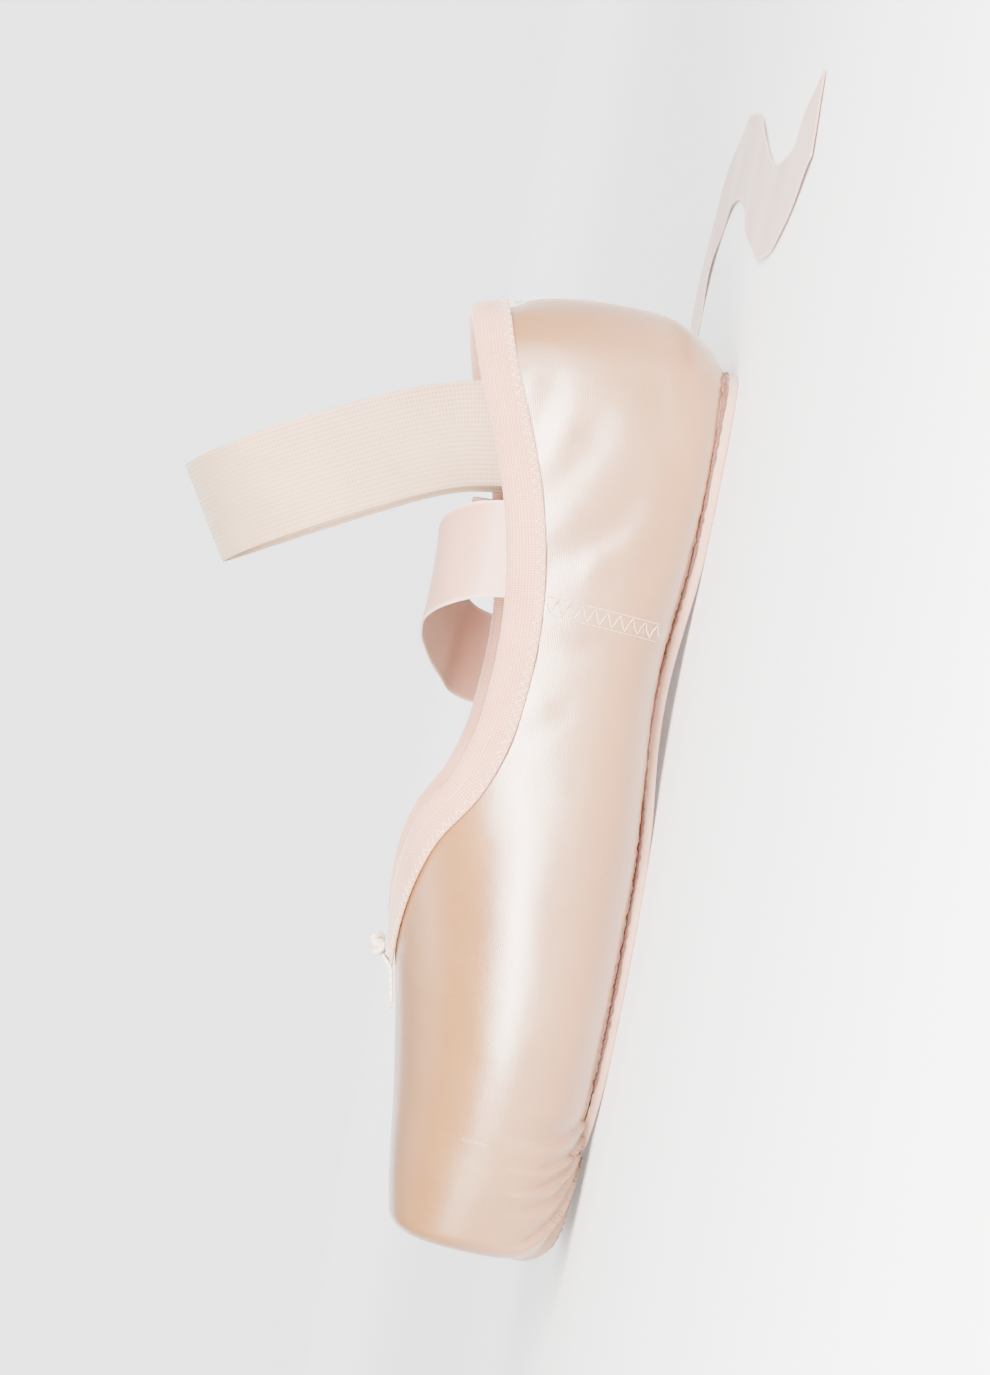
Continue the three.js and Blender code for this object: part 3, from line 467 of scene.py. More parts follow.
class Look:
    """A material with one principled surface, and the nodes that feed it."""

    def __init__(self, name, sockets):
        self.material = bpy.data.materials.new(name)
        self.material.use_nodes = True
        self.tree = self.material.node_tree
        self.face = self.tree.nodes["Principled BSDF"]
        self.normal = None
        for socket, value in sockets.items():
            self.face.inputs[socket].default_value = value

    def add(self, kind, values=(), give=0, **settings):
        """A node with its values set or its sockets joined. Gives one of its outputs."""
        node = self.tree.nodes.new("ShaderNode" + kind)
        for name, value in settings.items():
            setattr(node, name, value)
        for name, value in dict(values).items():
            if isinstance(value, bpy.types.NodeSocket):
                self.tree.links.new(value, node.inputs[name])
            else:
                node.inputs[name].default_value = value
        return node.outputs[give]

    def join(self, socket, value):
        self.tree.links.new(value, self.face.inputs[socket])

    def place(self):
        return self.add("TexCoord", give="Object")

    def cloth(self):
        return self.add("UVMap", uv_map="cloth")

    def mark(self, name):
        return self.add("Attribute", give="Fac", attribute_name=name)

    def noise(self, place, scale, detail):
        return self.add("TexNoise", {"Vector": place, "Scale": scale, "Detail": detail})

    def math(self, operation, *values):
        return self.add("Math", dict(enumerate(values)), operation=operation)

    def mix(self, share, first, second):
        return self.add("MixRGB", {"Fac": share, "Color1": first, "Color2": second})

    def spread(self, value, low, high, to_low=0.0, to_high=1.0):
        """A value's range low to high carried to another, and held at its ends."""
        return self.add("MapRange", {"Value": value, "From Min": low, "From Max": high,
                                     "To Min": to_low, "To Max": to_high})

    def toward(self, base, colour, mask, low=0.0, high=1.0, most=1.0, least=0.0):
        """A base that turns to a colour as a mask goes from low to high."""
        return self.mix(self.spread(mask, low, high, least, most), base, linear(*colour))

    def patches(self, place, scale, first, second, detail=3.0, full=0.7):
        """Two close colours in soft patches."""
        return self.toward(linear(*first), second, self.noise(place, scale, detail), 0.35, full)

    def shine_along(self):
        self.join("Tangent", self.add("Tangent", direction_type="UV_MAP", uv_map="cloth"))

    def bump(self, height, distance, strength):
        """Relief on top of the relief so far."""
        sockets = {"Height": height, "Distance": distance, "Strength": strength}
        if self.normal is not None:
            sockets["Normal"] = self.normal
        self.normal = self.add("Bump", sockets)
        self.join("Normal", self.normal)

    def weave(self, along, across, uneven):
        """Threads on the cloth's own map: a sine each way, at so many threads a metre, bent by
        noise. Gives the height and the noise."""
        place = self.cloth()
        noise = self.noise(place, uneven, 4.0)
        waves = [self.add("TexWave", {"Vector": place, "Scale": count * np.pi / 10, "Distortion": 1.2,
                                      "Detail": 2.0, "Detail Scale": 2.0}, 1, bands_direction=axis)
                 for axis, count in (("X", along), ("Y", across))]
        return self.math("ADD", *waves), noise


def satin_material():
    """Satin: long floats that shine along the shoe, a fine twill, a few slubs, and slow changes of
    colour. Folds get painted shade; the edge by the sole gets painted shade in its groove and dark staining."""
    look = Look("satin", {
        "Anisotropic": 0.5, "Sheen Weight": 0.15, "Sheen Roughness": 0.35,
        "Sheen Tint": linear(255, 236, 222), "Coat Weight": 0.5, "Coat Roughness": 0.22,
        "Specular IOR Level": 1.0, "IOR": 1.7, "Specular Tint": linear(255, 246, 238)})
    height, noise = look.weave(3000, 2400, 900)
    place = look.place()
    colour = look.patches(place, 34.0, (150, 103, 60), (140, 93, 52), full=0.68)
    stretched = look.add("Mapping", {"Vector": look.cloth(), "Scale": (260, 5200, 1)})
    colour = look.toward(colour, (170, 124, 80), look.noise(stretched, 1.0, 2.0), 0.5, 0.8, 0.35)
    # painted shade: the pleats' folds darkened towards a deep tan
    colour = look.toward(colour, (128, 78, 50), look.mark("fold"), 0.1, most=0.8)
    colour = look.toward(colour, (196, 150, 124), look.mark("seam"), most=0.35)
    # painted shade in the groove over the sole's edge, with dark staining, in a ragged band
    ragged = look.spread(look.noise(place, 620.0, 3.0), 0.3, 0.7, 0.35, 1.25)
    groove_shade_and_stain = look.math("MULTIPLY", look.mark("groove"), ragged)
    look.join("Base Color", look.toward(colour, (120, 66, 44), groove_shade_and_stain, 0.3, 0.75))
    look.join("Roughness", look.spread(noise, 0.3, 0.7, 0.29, 0.38))
    look.shine_along()
    look.bump(look.noise(place, 70.0, 2.0), 0.0012, 0.25)
    look.bump(height, 0.00004, 0.35)
    return look.material


outer, inner, bare, faces, cloth, shades = satin_sheets()
shape, source = shell(outer, both_sides(inner), faces, both_sides(bare))
marks = dict(zip(("fold", "groove", "seam"), shades[source].T))
put("satin_upper", shape, satin_material(), ["upper"], cloth[source], marks, sharp=62)

# ---- Side-seam stitches ----
# The quarters are joined to the vamp by a flat seam, sewn down on both sides with a zigzag of
# cotton thread. The seam at the back of the heel has a row of small straight stitches each side.
THREAD = 0.17  # thread radius
SEAM_HIGH, SEAM_LOW = 36.2, 8.5  # heights between which the side seams' thread shows
SEAM_ZIG, SEAM_PITCH = 1.75, 1.5  # half width of the zigzag and length of one zig
SEAM_ROW = 2.1  # straight row each side of the zigzag
BACK_ROW, BACK_STITCH = 1.9, 2.4  # rows beside the back seam, and length of a stitch with its gap
BACK_LOW, BACK_HIGH = 16, 56


def zigzag(run, pitch):
    """A wave of straight lines between -1 and 1."""
    return 2 / np.pi * np.arcsin(np.sin(np.pi * run / pitch))


def ring_mesh(rings, closed=False):
    """Faces between rings of points, with each end closed, turned so that they point out."""
    count, sides = rings.shape[:2]
    corner = np.arange(count * sides).reshape(count, sides)
    after = np.roll(corner, -1, 0) if closed else corner[1:]
    here = corner if closed else corner[:-1]
    faces = np.stack([here, after, np.roll(after, -1, 1), np.roll(here, -1, 1)], -1).reshape(-1, 4)
    if not closed:
        j = np.arange(sides // 2 - 1)
        end = np.stack([j, j + 1, sides - 2 - j, sides - 1 - j], 1)
        faces = np.concatenate([faces, corner[0][end], corner[-1][end[:, ::-1]]])
    points = rings.reshape(-1, 3)
    a, b, c, d = (points[faces[:, i]] for i in range(4))
    volume = (a * (np.cross(b, c) + np.cross(c, d))).sum()
    return points, faces if volume > 0 else faces[:, ::-1]


def tube(centres, normal, radius, sides=6, closed=False, flat=1.0):
    """Rings of points round a path: cos(turn) sideways and sin(turn) along the normal, which is
    flattened by a share."""
    ahead = np.roll(centres, -1, 0) - np.roll(centres, 1, 0)
    if not closed:
        ahead[0], ahead[-1] = centres[1] - centres[0], centres[-1] - centres[-2]
    side = unit(np.cross(ahead, normal))
    lift = unit(np.cross(side, ahead))
    turn = np.arange(sides)[:, None] * 2 * np.pi / sides
    size = np.broadcast_to(np.asarray(radius, float), len(centres))[:, None, None]
    ring = np.cos(turn) * side[:, None] + flat * np.sin(turn) * lift[:, None]
    return ring_mesh(centres[:, None] + size * ring, closed)


def joined(parts):
    """Several shapes as one."""
    starts = np.cumsum([0] + [len(points) for points, _ in parts[:-1]])
    return (np.concatenate([points for points, _ in parts]),
            np.concatenate([faces + start for (_, faces), start in zip(parts, starts)]))


def laid_thread(station, z, side, lift, radius=THREAD):
    """Thread along places on one side of the upper, standing off the satin by lift."""
    travel = travel_at(station)
    angle = angle_high(travel, z)
    place, out = on_last(travel, angle), outward(travel, angle)
    far = np.full(len(station), 40.0)  # from the sole's edge and the rim, with no puckers
    place = place + out * (relief(place, side, far, far) + lift)[:, None]
    return tube(place * [side, 1, 1], out * [side, 1, 1], radius)


def seam_threads():
    """Zigzags between two rows at the side seams, and the stitches beside the back seam, whose
    travels are found from their heights on the line BACK_ROW out from the middle."""
    back = np.linspace(FULL_TRAVEL - 0.1, HEEL_TOP_TRAVEL, 400)
    _, half, widest, bottom, top, below, above = section(back)
    share = np.clip(BACK_ROW / np.maximum(half, 2), 0, 1)
    upper_z = widest + (top - widest) * oval(share, above)
    lower_z = widest - (widest - bottom) * oval(share, below)
    heights, travels = np.concatenate([lower_z[::-1], upper_z]), np.concatenate([back[::-1], back])
    parts = []
    for side in (1, -1):
        z = np.arange(SEAM_HIGH, SEAM_LOW, -SEAM_PITCH / 6)
        middle = SEAM_STATION + SEAM_SLANT * (z - 20)
        parts.append(laid_thread(middle + SEAM_ZIG * zigzag(z, SEAM_PITCH), z, side, 0.26))
        for row in (-SEAM_ROW, SEAM_ROW):
            parts.append(laid_thread(middle + row, z, side, 0.18, 0.1))
    for side in (1, -1):
        for z0 in np.arange(BACK_LOW, BACK_HIGH, BACK_STITCH):
            z = z0 + np.linspace(0, 0.68 * BACK_STITCH, 5)
            travel = np.interp(z, heights, travels)
            angle = np.arctan2(z - section(travel)[2], BACK_ROW)
            place, out = on_last(travel, angle), outward(travel, angle)
            parts.append(tube((place + out * 0.2) * [side, 1, 1], out * [side, 1, 1], 0.14))
    return joined(parts)


def cotton_material(name, colour, second, threads, roughness=0.85, depth=0.0001, fuzz=0.4):
    """Plain cotton: threads both ways, two close colours in soft patches, a painted highlight on the raised
    threads, and a matt fuzz.
    """
    look = Look(name, {"Sheen Weight": fuzz, "Sheen Roughness": 0.5,
                       "Sheen Tint": linear(255, 246, 236), "Specular IOR Level": 0.3})
    height, noise = look.weave(threads, threads * 0.8, 700)
    place = look.place()
    base = look.patches(place, 90.0, colour, second, detail=4.0)
    # painted highlight: the raised threads turn up to a quarter of the way to near white
    look.join("Base Color", look.toward(base, (255, 248, 240), height, 0.3, 1.6, 0.25))
    look.join("Roughness", look.spread(noise, 0.3, 0.7, roughness - 0.08, roughness + 0.08))
    look.bump(look.noise(place, 1500.0, 3.0), depth * 1.5, 0.35)
    look.bump(height, depth, 0.5)
    return look.material


def twisted_thread(name, colour, roughness=0.6):
    """Sewing thread: plies seen as fine slanting bands, with painted shade in the grooves between them."""
    look = Look(name, {"Roughness": roughness, "Sheen Weight": 0.3})
    plies = look.add("TexWave", {"Vector": look.place(), "Scale": 420.0, "Distortion": 3.0,
                                 "Detail": 1.0}, 1, bands_direction="DIAGONAL")
    # painted shade: a darker copy of the thread's colour where the plies dip
    dark = tuple(0.72 * c for c in linear(*colour)[:3]) + (1.0,)
    look.join("Base Color", look.mix(plies, dark, linear(*colour)))
    look.bump(plies, 0.0001, 0.5)
    return look.material


cream_thread = twisted_thread("cream_thread", (222, 190, 158))
put("seam_stitches", seam_threads(), cream_thread)

# ---- Lining ----
# A cotton lining is sewn in with the upper and covers the whole inside above the insole. It is
# plain woven and a little rubbed.
lining_cotton = cotton_material("lining_cotton", (238, 224, 206), (226, 208, 188), 1500)
travel, arc, skin, outer, inner, faces = lasted_sheets(0.5, 46, (1, 0.04 - LINING_CLOTH), (1, 0), False)
cloth = np.stack([travel[:, None] + 0 * arc, arc], -1).reshape(-1, 2)
shape, source = shell(both_sides(outer), both_sides(inner), faces, both_sides(skin))
put("lining", shape, lining_cotton, cloth=np.concatenate([cloth, cloth])[source], sharp=60)

# ---- Insole ----
# A cotton-covered sock glued over the turned-under edge. It fills the floor of the shoe inside,
# with its own rounded edge, and has sunk a little under the ball and the heel.
SOCK = 1.6


def insole_sheets():
    """The line where the lining meets the sock's top, found on each column of the last, and sheets
    across it at the sock's top and bottom. The top falls off at its edge by the eighth power."""
    travel = np.concatenate([np.linspace(-0.13, -0.01, 24), np.linspace(0, EDGE_TRAVEL, 8),
                             np.linspace(EDGE_TRAVEL + 1, travel_at(214), 110),
                             np.linspace(travel_at(214.5), FULL_TRAVEL - 0.5, 70)])
    wide, turn = np.broadcast_arrays(travel[:, None], np.linspace(-np.pi / 2, 0.15, 140))
    inner = on_last(wide, turn)
    wall = wall_at(inner[..., 1] + LENGTH / 2)[..., None]
    inner = inner - outward(wide, turn) * (wall + GAP + 0.05)
    top = inside_floor(inner[:, :1, 1] + LENGTH / 2)[:, 0] + GAP + SOCK
    reached = inner[:, :, 2].min(1) < top - 0.02
    edge = np.array([[np.interp(t, p[:, 2], p[:, 0]), np.interp(t, p[:, 2], p[:, 1])]
                     for t, p in zip(top[reached], inner[reached])])
    share = np.sin(np.linspace(np.pi / 2, -np.pi / 2, 33))
    x, y = edge[:, :1] * share, edge[:, 1:] + 0 * share
    station = y + LENGTH / 2
    low = inside_floor(station) + GAP
    sunk = 0.35 * np.exp(-((station - 78) / 26) ** 2 - (x / 24) ** 2)
    sunk = sunk + 0.3 * np.exp(-((station - 200) / 16) ** 2 - (x / 13) ** 2)
    high = low + SOCK - 0.45 * np.abs(share) ** 8 - sunk
    return np.stack([x, y, high], -1), np.stack([x, y, low], -1)


sock_cotton = cotton_material("sock_cotton", (232, 214, 192), (214, 190, 166), 1100, depth=0.00014)
top, bottom = insole_sheets()
shape, source = shell(top, bottom, grid_faces(*top.shape[:2]))
put("insole_sock", shape, sock_cotton, ["insole"], top.reshape(-1, 3)[source, :2], sharp=50)

# ---- Outsole ----
# One piece of buffed leather, narrower than the shoe, sewn through a channel cut near its edge and
# then closed. Its bottom is suede, its cut edge is bare, and a dark waxed thread shows above it.
SOLE_BEVEL, SOLE_STITCH = 0.8, 2.9
CHANNEL_IN = 4.6  # from the edge to the closed channel
THREAD_START = 41  # station where the dark thread ends towards the toe


def outsole_sheets():
    """Bottom and top in plan columns. Near its edge, and at both ends, the bottom rises by a
    quarter circle of SOLE_BEVEL."""
    station = np.concatenate([spaced(SOLE_TOE, SOLE_HEEL, 240, 0.7), [SOLE_HEEL]])[:, None]
    share = np.sin(np.linspace(-np.pi / 2, np.pi / 2, 71))
    half = sole_half(station)
    x, y = half * share, station - LENGTH / 2 + 0 * share
    in_by = half - np.abs(x)
    close = 1 - np.minimum(in_by, np.minimum(station - SOLE_TOE, SOLE_HEEL - station)) / SOLE_BEVEL
    close = np.clip(close, 0, 1)
    rounded = SOLE_BEVEL * (1 - np.sqrt(1 - close ** 2))
    channel = 0.22 * np.exp(-((in_by - CHANNEL_IN) / 0.35) ** 2)
    worn = 0.05 * np.sin(x / 3.1 + station / 5) * np.sin(station / 7.3)
    low = sole_bottom(station) + rounded + channel + np.maximum(worn, 0)
    top = sole_top(station) - 0.1 + 0.1 * np.sin(2 * np.pi * station / SOLE_STITCH) * np.abs(share) ** 30
    return np.stack([x, y, low], -1), np.stack([x * (1 - 0.3 / half), y, top], -1), close


def leather_material():
    """Buffed leather: a short nap in two colours, pores, scuffs where it touches the floor, and a
    darker cut edge."""
    look = Look("sole_leather", {"Roughness": 0.8, "Specular IOR Level": 0.35, "Sheen Weight": 0.25,
                                 "Sheen Roughness": 0.6})
    place = look.place()
    nap = look.noise(place, 260.0, 6.0)
    base = look.toward(linear(190, 150, 130), (170, 130, 112), nap, 0.35, 0.7)
    base = look.toward(base, (158, 128, 114), look.noise(place, 28.0, 3.0), 0.5, 0.72, 0.5)
    base = look.toward(base, (186, 146, 124), look.mark("edge"), 0.2, most=0.7)
    low = look.spread(look.add("SeparateXYZ", {"Vector": place}, 2), 0.0, 0.0008, 0.35, 0)
    rub = look.math("MULTIPLY", low, look.spread(look.noise(place, 520.0, 2.0), 0.45, 0.6))
    look.join("Base Color", look.mix(rub, base, linear(132, 108, 98)))
    look.bump(nap, 0.0003, 0.5)
    look.bump(look.add("TexVoronoi", {"Vector": place, "Scale": 1400.0}), 0.00012, 0.4)
    return look.material


def channel_thread():
    """A ragged line round the sole's top edge, from one side of the toe round the heel to the
    other: the outline with its height and radius shaken by sines of unlike lengths."""
    station = np.linspace(THREAD_START, SOLE_HEEL - 0.6, 620)
    side = np.stack([sole_half(station) + 0.12, station - LENGTH / 2, sole_top(station) + 0.05], -1)
    turn = np.linspace(0, 1, 34)[1:-1]
    heel = side[-1] * np.stack([np.cos(np.pi * turn), 1 + 0 * turn, 1 + 0 * turn], -1) + [0, 0.4, 0]
    path = np.concatenate([side, heel, (side * [-1, 1, 1])[::-1]])
    run = run_along(path)
    shake = np.sin(run * 1.9) * np.sin(run * 0.37 + 1) + 0.6 * np.sin(run * 4.3 + 2 * np.sin(run * 0.6))
    path[:, 2] += 0.12 * shake
    radius = 0.36 + 0.13 * np.sin(run * 1.1 + np.sin(run * 0.31) * 3) + 0.07 * shake
    ends = smooth(run, 0, 4) * smooth(run[-1] - run, 0, 4)
    return tube(path, [0, 0, 1], (0.12 + radius * ends).clip(0.1), 7)


bottom, top, close = outsole_sheets()
shape, source = shell(bottom, top, grid_faces(*bottom.shape[:2]))
put("outsole_leather", shape, leather_material(), ["outsole"],
    marks={"edge": close.reshape(-1)[source]}, sharp=50)
put("sole_thread", channel_thread(), twisted_thread("waxed_thread", (112, 62, 42), 0.5))

# ---- Collar binding ----
# Cotton tape folded over the rim with the drawstring inside its fold, which gathers it a little.
# A zigzag in cream thread holds its lower edge all round.
BINDING_CLOTH = 1.0
BINDING_STAND = 0.5  # between the satin and the tape
ZIG_BELOW, ZIG_HALF, ZIG_PITCH = 7.0, 1.05, 1.15  # the zigzag on the tape's lower edge
FOLD_ROW = 2.9  # below the rim
# Below the rim, off the tape's inner face, and share of the gathers, down each face of the tape.
TAPE_OUTSIDE = [(8.0, 0.0, 0), (8.06, 0.35, 0.1), (7.7, 0.62, 0.3), (7.0, 0.72, 0.5), (6.0, 0.8, 0.6),
                (4.6, 0.9, 0.7), (3.2, 1.0, 0.9), (2.2, 1.12, 1.0), (1.3, 1.18, 1.0), (0.5, 1.1, 1.0)]
TAPE_INSIDE = [(0.6, 1.0, 1), (2.4, 1.05, 1), (4.2, 0.95, 1), (6.2, 0.85, 1), (6.95, 0.6, 0), (7.0, 0.1, 0)]


def rim_places(count):
    """The rim's loop: travels and angles, from the throat's tip round by +X and back by -X, closer
    together towards the tip and the heel, with each place's point, outward and downward ways."""
    share = (1 - np.cos(np.pi * np.arange(count + 1) / count)) / 2
    station = THROAT + (section(HEEL_TOP_TRAVEL)[0] - THROAT) * share
    travel = travel_at(station)
    travel[-1] = HEEL_TOP_TRAVEL
    angle = rim_angle(station, travel)
    angle[-1] = np.pi / 2
    travel = np.concatenate([travel, travel[-2:0:-1]])
    angle = np.concatenate([angle, np.pi - angle[-2:0:-1]])
    point, out = on_last(travel, angle), outward(travel, angle)
    along = unit(np.roll(point, -1, 0) - np.roll(point, 1, 0))
    return travel, angle, point, out, unit(np.cross(along, out))


def near_rim(places, below, out_by):
    """Points below the rim by a walk over the last in steps of up to 1 mm, and out from it. Above
    the rim the walk is straight."""
    travel, angle, point, out, down = places
    below, out_by = below + 0 * travel, (out_by + 0 * travel)[:, None]
    if below.max() <= 0:
        return point + down * below[:, None] + out * out_by
    steps = int(np.ceil(below.max()))
    for _ in range(steps):
        along, round_it = slopes(travel, angle)
        normal = unit(np.cross(along, round_it))
        way = unit(down - normal * (down * normal).sum(-1, keepdims=True)) * (below / steps)[:, None]
        tt, ta, aa = (along ** 2).sum(-1), (along * round_it).sum(-1), (round_it ** 2).sum(-1)
        t, a = (way * along).sum(-1), (way * round_it).sum(-1)
        scale = tt * aa - ta ** 2
        travel, angle = travel + (t * aa - a * ta) / scale, angle + (a * tt - t * ta) / scale
    return on_last(travel, angle) + outward(travel, angle) * out_by


def binding_rings(places):
    """The tape's cut carried round the rim. Its two faces ripple where the drawstring gathers it,
    and its fold is a half ellipse over the wall."""
    wall = wall_at(section(places[0])[0])
    run = run_along(places[2])
    gather = np.sin(2 * np.pi * run / 2.3 + 1.8 * np.sin(run / 7)) + 0.5 * np.sin(2 * np.pi * run / 1.3)
    face = BINDING_STAND + BINDING_CLOTH
    rings = [near_rim(places, below, BINDING_STAND + stand + 0.09 * share * gather)
             for below, stand, share in TAPE_OUTSIDE]
    for turn in np.linspace(0.12, 0.88, 9) * np.pi:
        across = -wall / 2 + (face + wall / 2) * np.cos(turn)
        rings.append(near_rim(places, -face * np.sin(turn) ** 0.8 - 0.05 * gather, across))
    inside = -wall - BINDING_STAND
    rings += [near_rim(places, below, inside - stand - 0.08 * share * gather)
              for below, stand, share in TAPE_INSIDE]
    rings += [near_rim(places, below, out_by) for below, out_by in
              ((3.5, inside), (-GAP, inside), (-GAP, BINDING_STAND), (4.0, BINDING_STAND))]
    return np.stack(rings, 1), run


def binding_stitches():
    """A zigzag along the tape's lower edge, and a row of straight thread under its fold."""
    places = rim_places(1100)
    run = run_along(places[2])
    zigs = 2 * round(run[-1] / ZIG_PITCH / 2)
    wave = zigzag(run, run[-1] / zigs)
    path = near_rim(places, ZIG_BELOW + ZIG_HALF * wave, BINDING_STAND + 0.72 - 0.25 * smooth(wave, 0.2, 1))
    row = near_rim(places, FOLD_ROW + 0.04 * wave, BINDING_STAND + 1.06 + 0.1 * wave)
    return joined([tube(path, places[3], 0.2, 5, closed=True), tube(row, places[3], 0.1, 5, closed=True)])


binding_cotton = cotton_material("binding_cotton", (196, 124, 88), (184, 110, 76), 1700, 0.9, 0.00012, 0.5)
rim = rim_places(230)
rings, run = binding_rings(rim)
tape = np.stack(np.broadcast_arrays(run[:, None], run_along(rings[40])), -1).reshape(-1, 2)
put("collar_tape", ring_mesh(rings, closed=True), binding_cotton, ["collar_binding"], tape,
    sharp=60)
put("binding_stitches", binding_stitches(), cream_thread)

# ---- Drawstring ----
# A flat cotton cord runs in the binding and is tied in front: a small tight knot at the throat's
# tip, with two short ends tucked down on the vamp.
KNOT_RISE = 2.2  # half height of the knot
CORD_RADIUS = 0.8
CORD_ENDS = (1, 0.42, 11.5), (-1, 0.62, 9.0)  # each end's side, spread and reach


def drawstring_mesh():
    """The knot is a flattened trefoil, x = sin t + 2 sin 2t, y = cos t - 2 cos 2t, z = -sin 3t. Each
    end is a path that leaves it down the vamp and ends in a fan of fibres."""
    tip = [part[:1] for part in rim]
    middle = near_rim(tip, 3.0, 2 * GAP + 0.2 + BINDING_CLOTH + KNOT_RISE)
    up, ahead = tip[3], tip[4]
    t = np.linspace(0, 2 * np.pi, 140, endpoint=False)[:, None]
    knot = (middle + (np.sin(t) + 2 * np.sin(2 * t)) * 1.22 * [[1, 0, 0]]
            + (np.cos(t) - 2 * np.cos(2 * t)) * 0.78 * ahead - np.sin(3 * t) * 0.95 * up)
    parts = [tube(knot, up, CORD_RADIUS * 1.15, 10, closed=True)]
    run = np.linspace(0, 1, 26)
    for side, spread_out, reach in CORD_ENDS:
        travel = tip[0] - 5.2 - reach * run
        x = side * (0.8 + reach * spread_out * run ** 1.2 + 0.5 * np.sin(5 * run))
        angle = angle_out(travel, x)
        lift = CORD_RADIUS + 0.35 + (2.6 - CORD_RADIUS) * (1 - smooth(run, 0, 0.35))
        out = outward(travel, angle)
        path = on_last(travel, angle) + out * lift[:, None]
        parts.append(tube(path, out, CORD_RADIUS * (1 - 0.25 * smooth(run, 0.9, 1)), 8, flat=0.7))
        heading = unit(path[-1] - path[-3])
        for turn in np.linspace(-0.8, 0.8, 7):
            way = unit(heading + turn * np.cross(heading, up[0]) * 0.5 + 0.12 * np.sin(9 * turn) * up[0])
            strand = path[-1] + way * (np.linspace(0, 1.9, 5) - 0.3)[:, None]
            parts.append(tube(strand, up, 0.13, 5))
    return joined(parts)


drawstring_cotton = twisted_thread("drawstring_cotton", (238, 224, 204), 0.75)
put("drawstring", drawstring_mesh(), drawstring_cotton, ["drawstring_knot"])

# ---- Ankle elastic ----
# A loop of woven elastic, sewn inside both sides of the heel. It keeps the round of the ankle that
# it held, and its ends are sewn down with a box of zigzag.
ELASTIC_WIDTH, ELASTIC_CLOTH = 25.0, 1.1
ELASTIC_LEAN = np.radians((12, 32))  # of its width from level, in the heel and in front
ELASTIC_CUP = 2.7  # how far its edges bend off its middle, near its two ends
ELASTIC_RIBS = 12  # in half its width
ELASTIC_ROUTE = np.array([
    (26.2, 193, 36), (24.8, 193, 43), (22.4, 193, 50), (20.7, 192.4, 56), (20.4, 191, 63),
    (22.4, 187.2, 73), (25.4, 181.2, 85), (26.4, 174.5, 97.5), (22.8, 168, 109),
    (14.3, 163.4, 116.6), (0, 161.2, 120)]) - [0, LENGTH / 2, 0]


def even_route(points, count):
    """A centripetal Catmull-Rom curve: between two points a cubic, with slopes from their
    neighbours over the square roots of the distances. Gives even places, headings and lengths."""
    p = np.concatenate([2 * points[:1] - points[1:2], points, 2 * points[-1:] - points[-2:-1]])
    d = np.sqrt(np.linalg.norm(np.diff(p, axis=0), axis=1))[:, None]
    a, b, c = d[:-2], d[1:-1], d[2:]
    p0, p1, p2, p3 = p[:-3], p[1:-2], p[2:-1], p[3:]
    leave = ((p1 - p0) / a - (p2 - p0) / (a + b) + (p2 - p1) / b) * b
    arrive = ((p2 - p1) / b - (p3 - p1) / (b + c) + (p3 - p2) / c) * b
    t = np.linspace(0, 1, 60, endpoint=False)[:, None, None]
    fine = (p1 + leave * t + (3 * (p2 - p1) - 2 * leave - arrive) * t ** 2
            + (2 * (p1 - p2) + leave + arrive) * t ** 3)
    fine = np.concatenate([fine.transpose(1, 0, 2).reshape(-1, 3), points[-1:]])
    run = run_along(fine)
    wanted = np.linspace(0, run[-1], count)
    route = np.stack([np.interp(wanted, run, fine[:, i]) for i in range(3)], 1)
    return route, unit(np.gradient(route, axis=0)), wanted


def band(route, heading, across, width, cloth, lanes, swell, cup=0.0):
    """A flat band: across its width at each place, and its two faces half a cloth off the middle.
    swell adds to each face by lane, and cup moves the edges by the lane squared."""
    wide = unit(across - heading * (across * heading).sum(-1, keepdims=True))
    face = unit(np.cross(heading, wide))[:, None]
    bend = (cup + np.zeros(len(route)))[:, None, None] * (lanes ** 2)[:, None]
    middle = route[:, None] + wide[:, None] * (lanes * width / 2)[:, None] + face * bend
    half = face * (cloth / 2 + swell)[:, None]
    return np.concatenate([middle + half, (middle - half)[:, ::-1]], 1), face


def band_cloth(run, lanes, width):
    """Each point's place on the flat band: the run along it, and across both faces in turn."""
    over = np.concatenate([lanes * width / 2, width * 1.5 - lanes[::-1] * width / 2])
    return np.stack(np.broadcast_arrays(run[:, None], over), -1).reshape(-1, 2)


def end_stitches(rings, lanes, first, last, ends=(False, True)):
    """A box of zigzag near an end of a band, or both, on its two faces."""
    count = len(lanes)
    turn = np.linspace(0, 1, 260)
    i = np.floor(first + (last - first) * turn).astype(int)
    j = np.floor((0.5 + 0.4 * zigzag(turn * 16, 1)) * (count - 1)).astype(int)
    parts = []
    for flip in ends:
        cells = rings[::-1] if flip else rings
        top, under = cells[:, :count][i, j], cells[:, :count - 1:-1][i, j]
        for near, far in ((top, under), (under, top)):
            normal = unit(near - far)
            parts.append(tube(near + normal * 0.04, normal, 0.15, 5))
    return joined(parts)


def elastic_material():
    """Woven elastic: cords along it show as ribs, wefts as fine bars, cream with a slight shine."""
    look = Look("elastic_weave", {"Roughness": 0.62, "Sheen Weight": 0.3,
                                  "Sheen Tint": linear(255, 250, 240)})
    place = look.cloth()
    ribs, bars = (look.add("TexWave", {"Vector": place, "Scale": count * np.pi / 10, "Distortion": bent}, 1,
                           bands_direction=axis) for axis, count, bent in (("Y", 900, 0.3), ("X", 1300, 0.8)))
    both = look.math("MULTIPLY_ADD", ribs, bars, 0.1)
    base = look.patches(place, 60.0, (172, 130, 94), (160, 118, 84))
    look.join("Base Color", look.toward(base, (206, 190, 170), both, 0.1, 1.1, most=0.0, least=0.35))
    look.bump(both, 0.00025, 0.6)
    return look.material


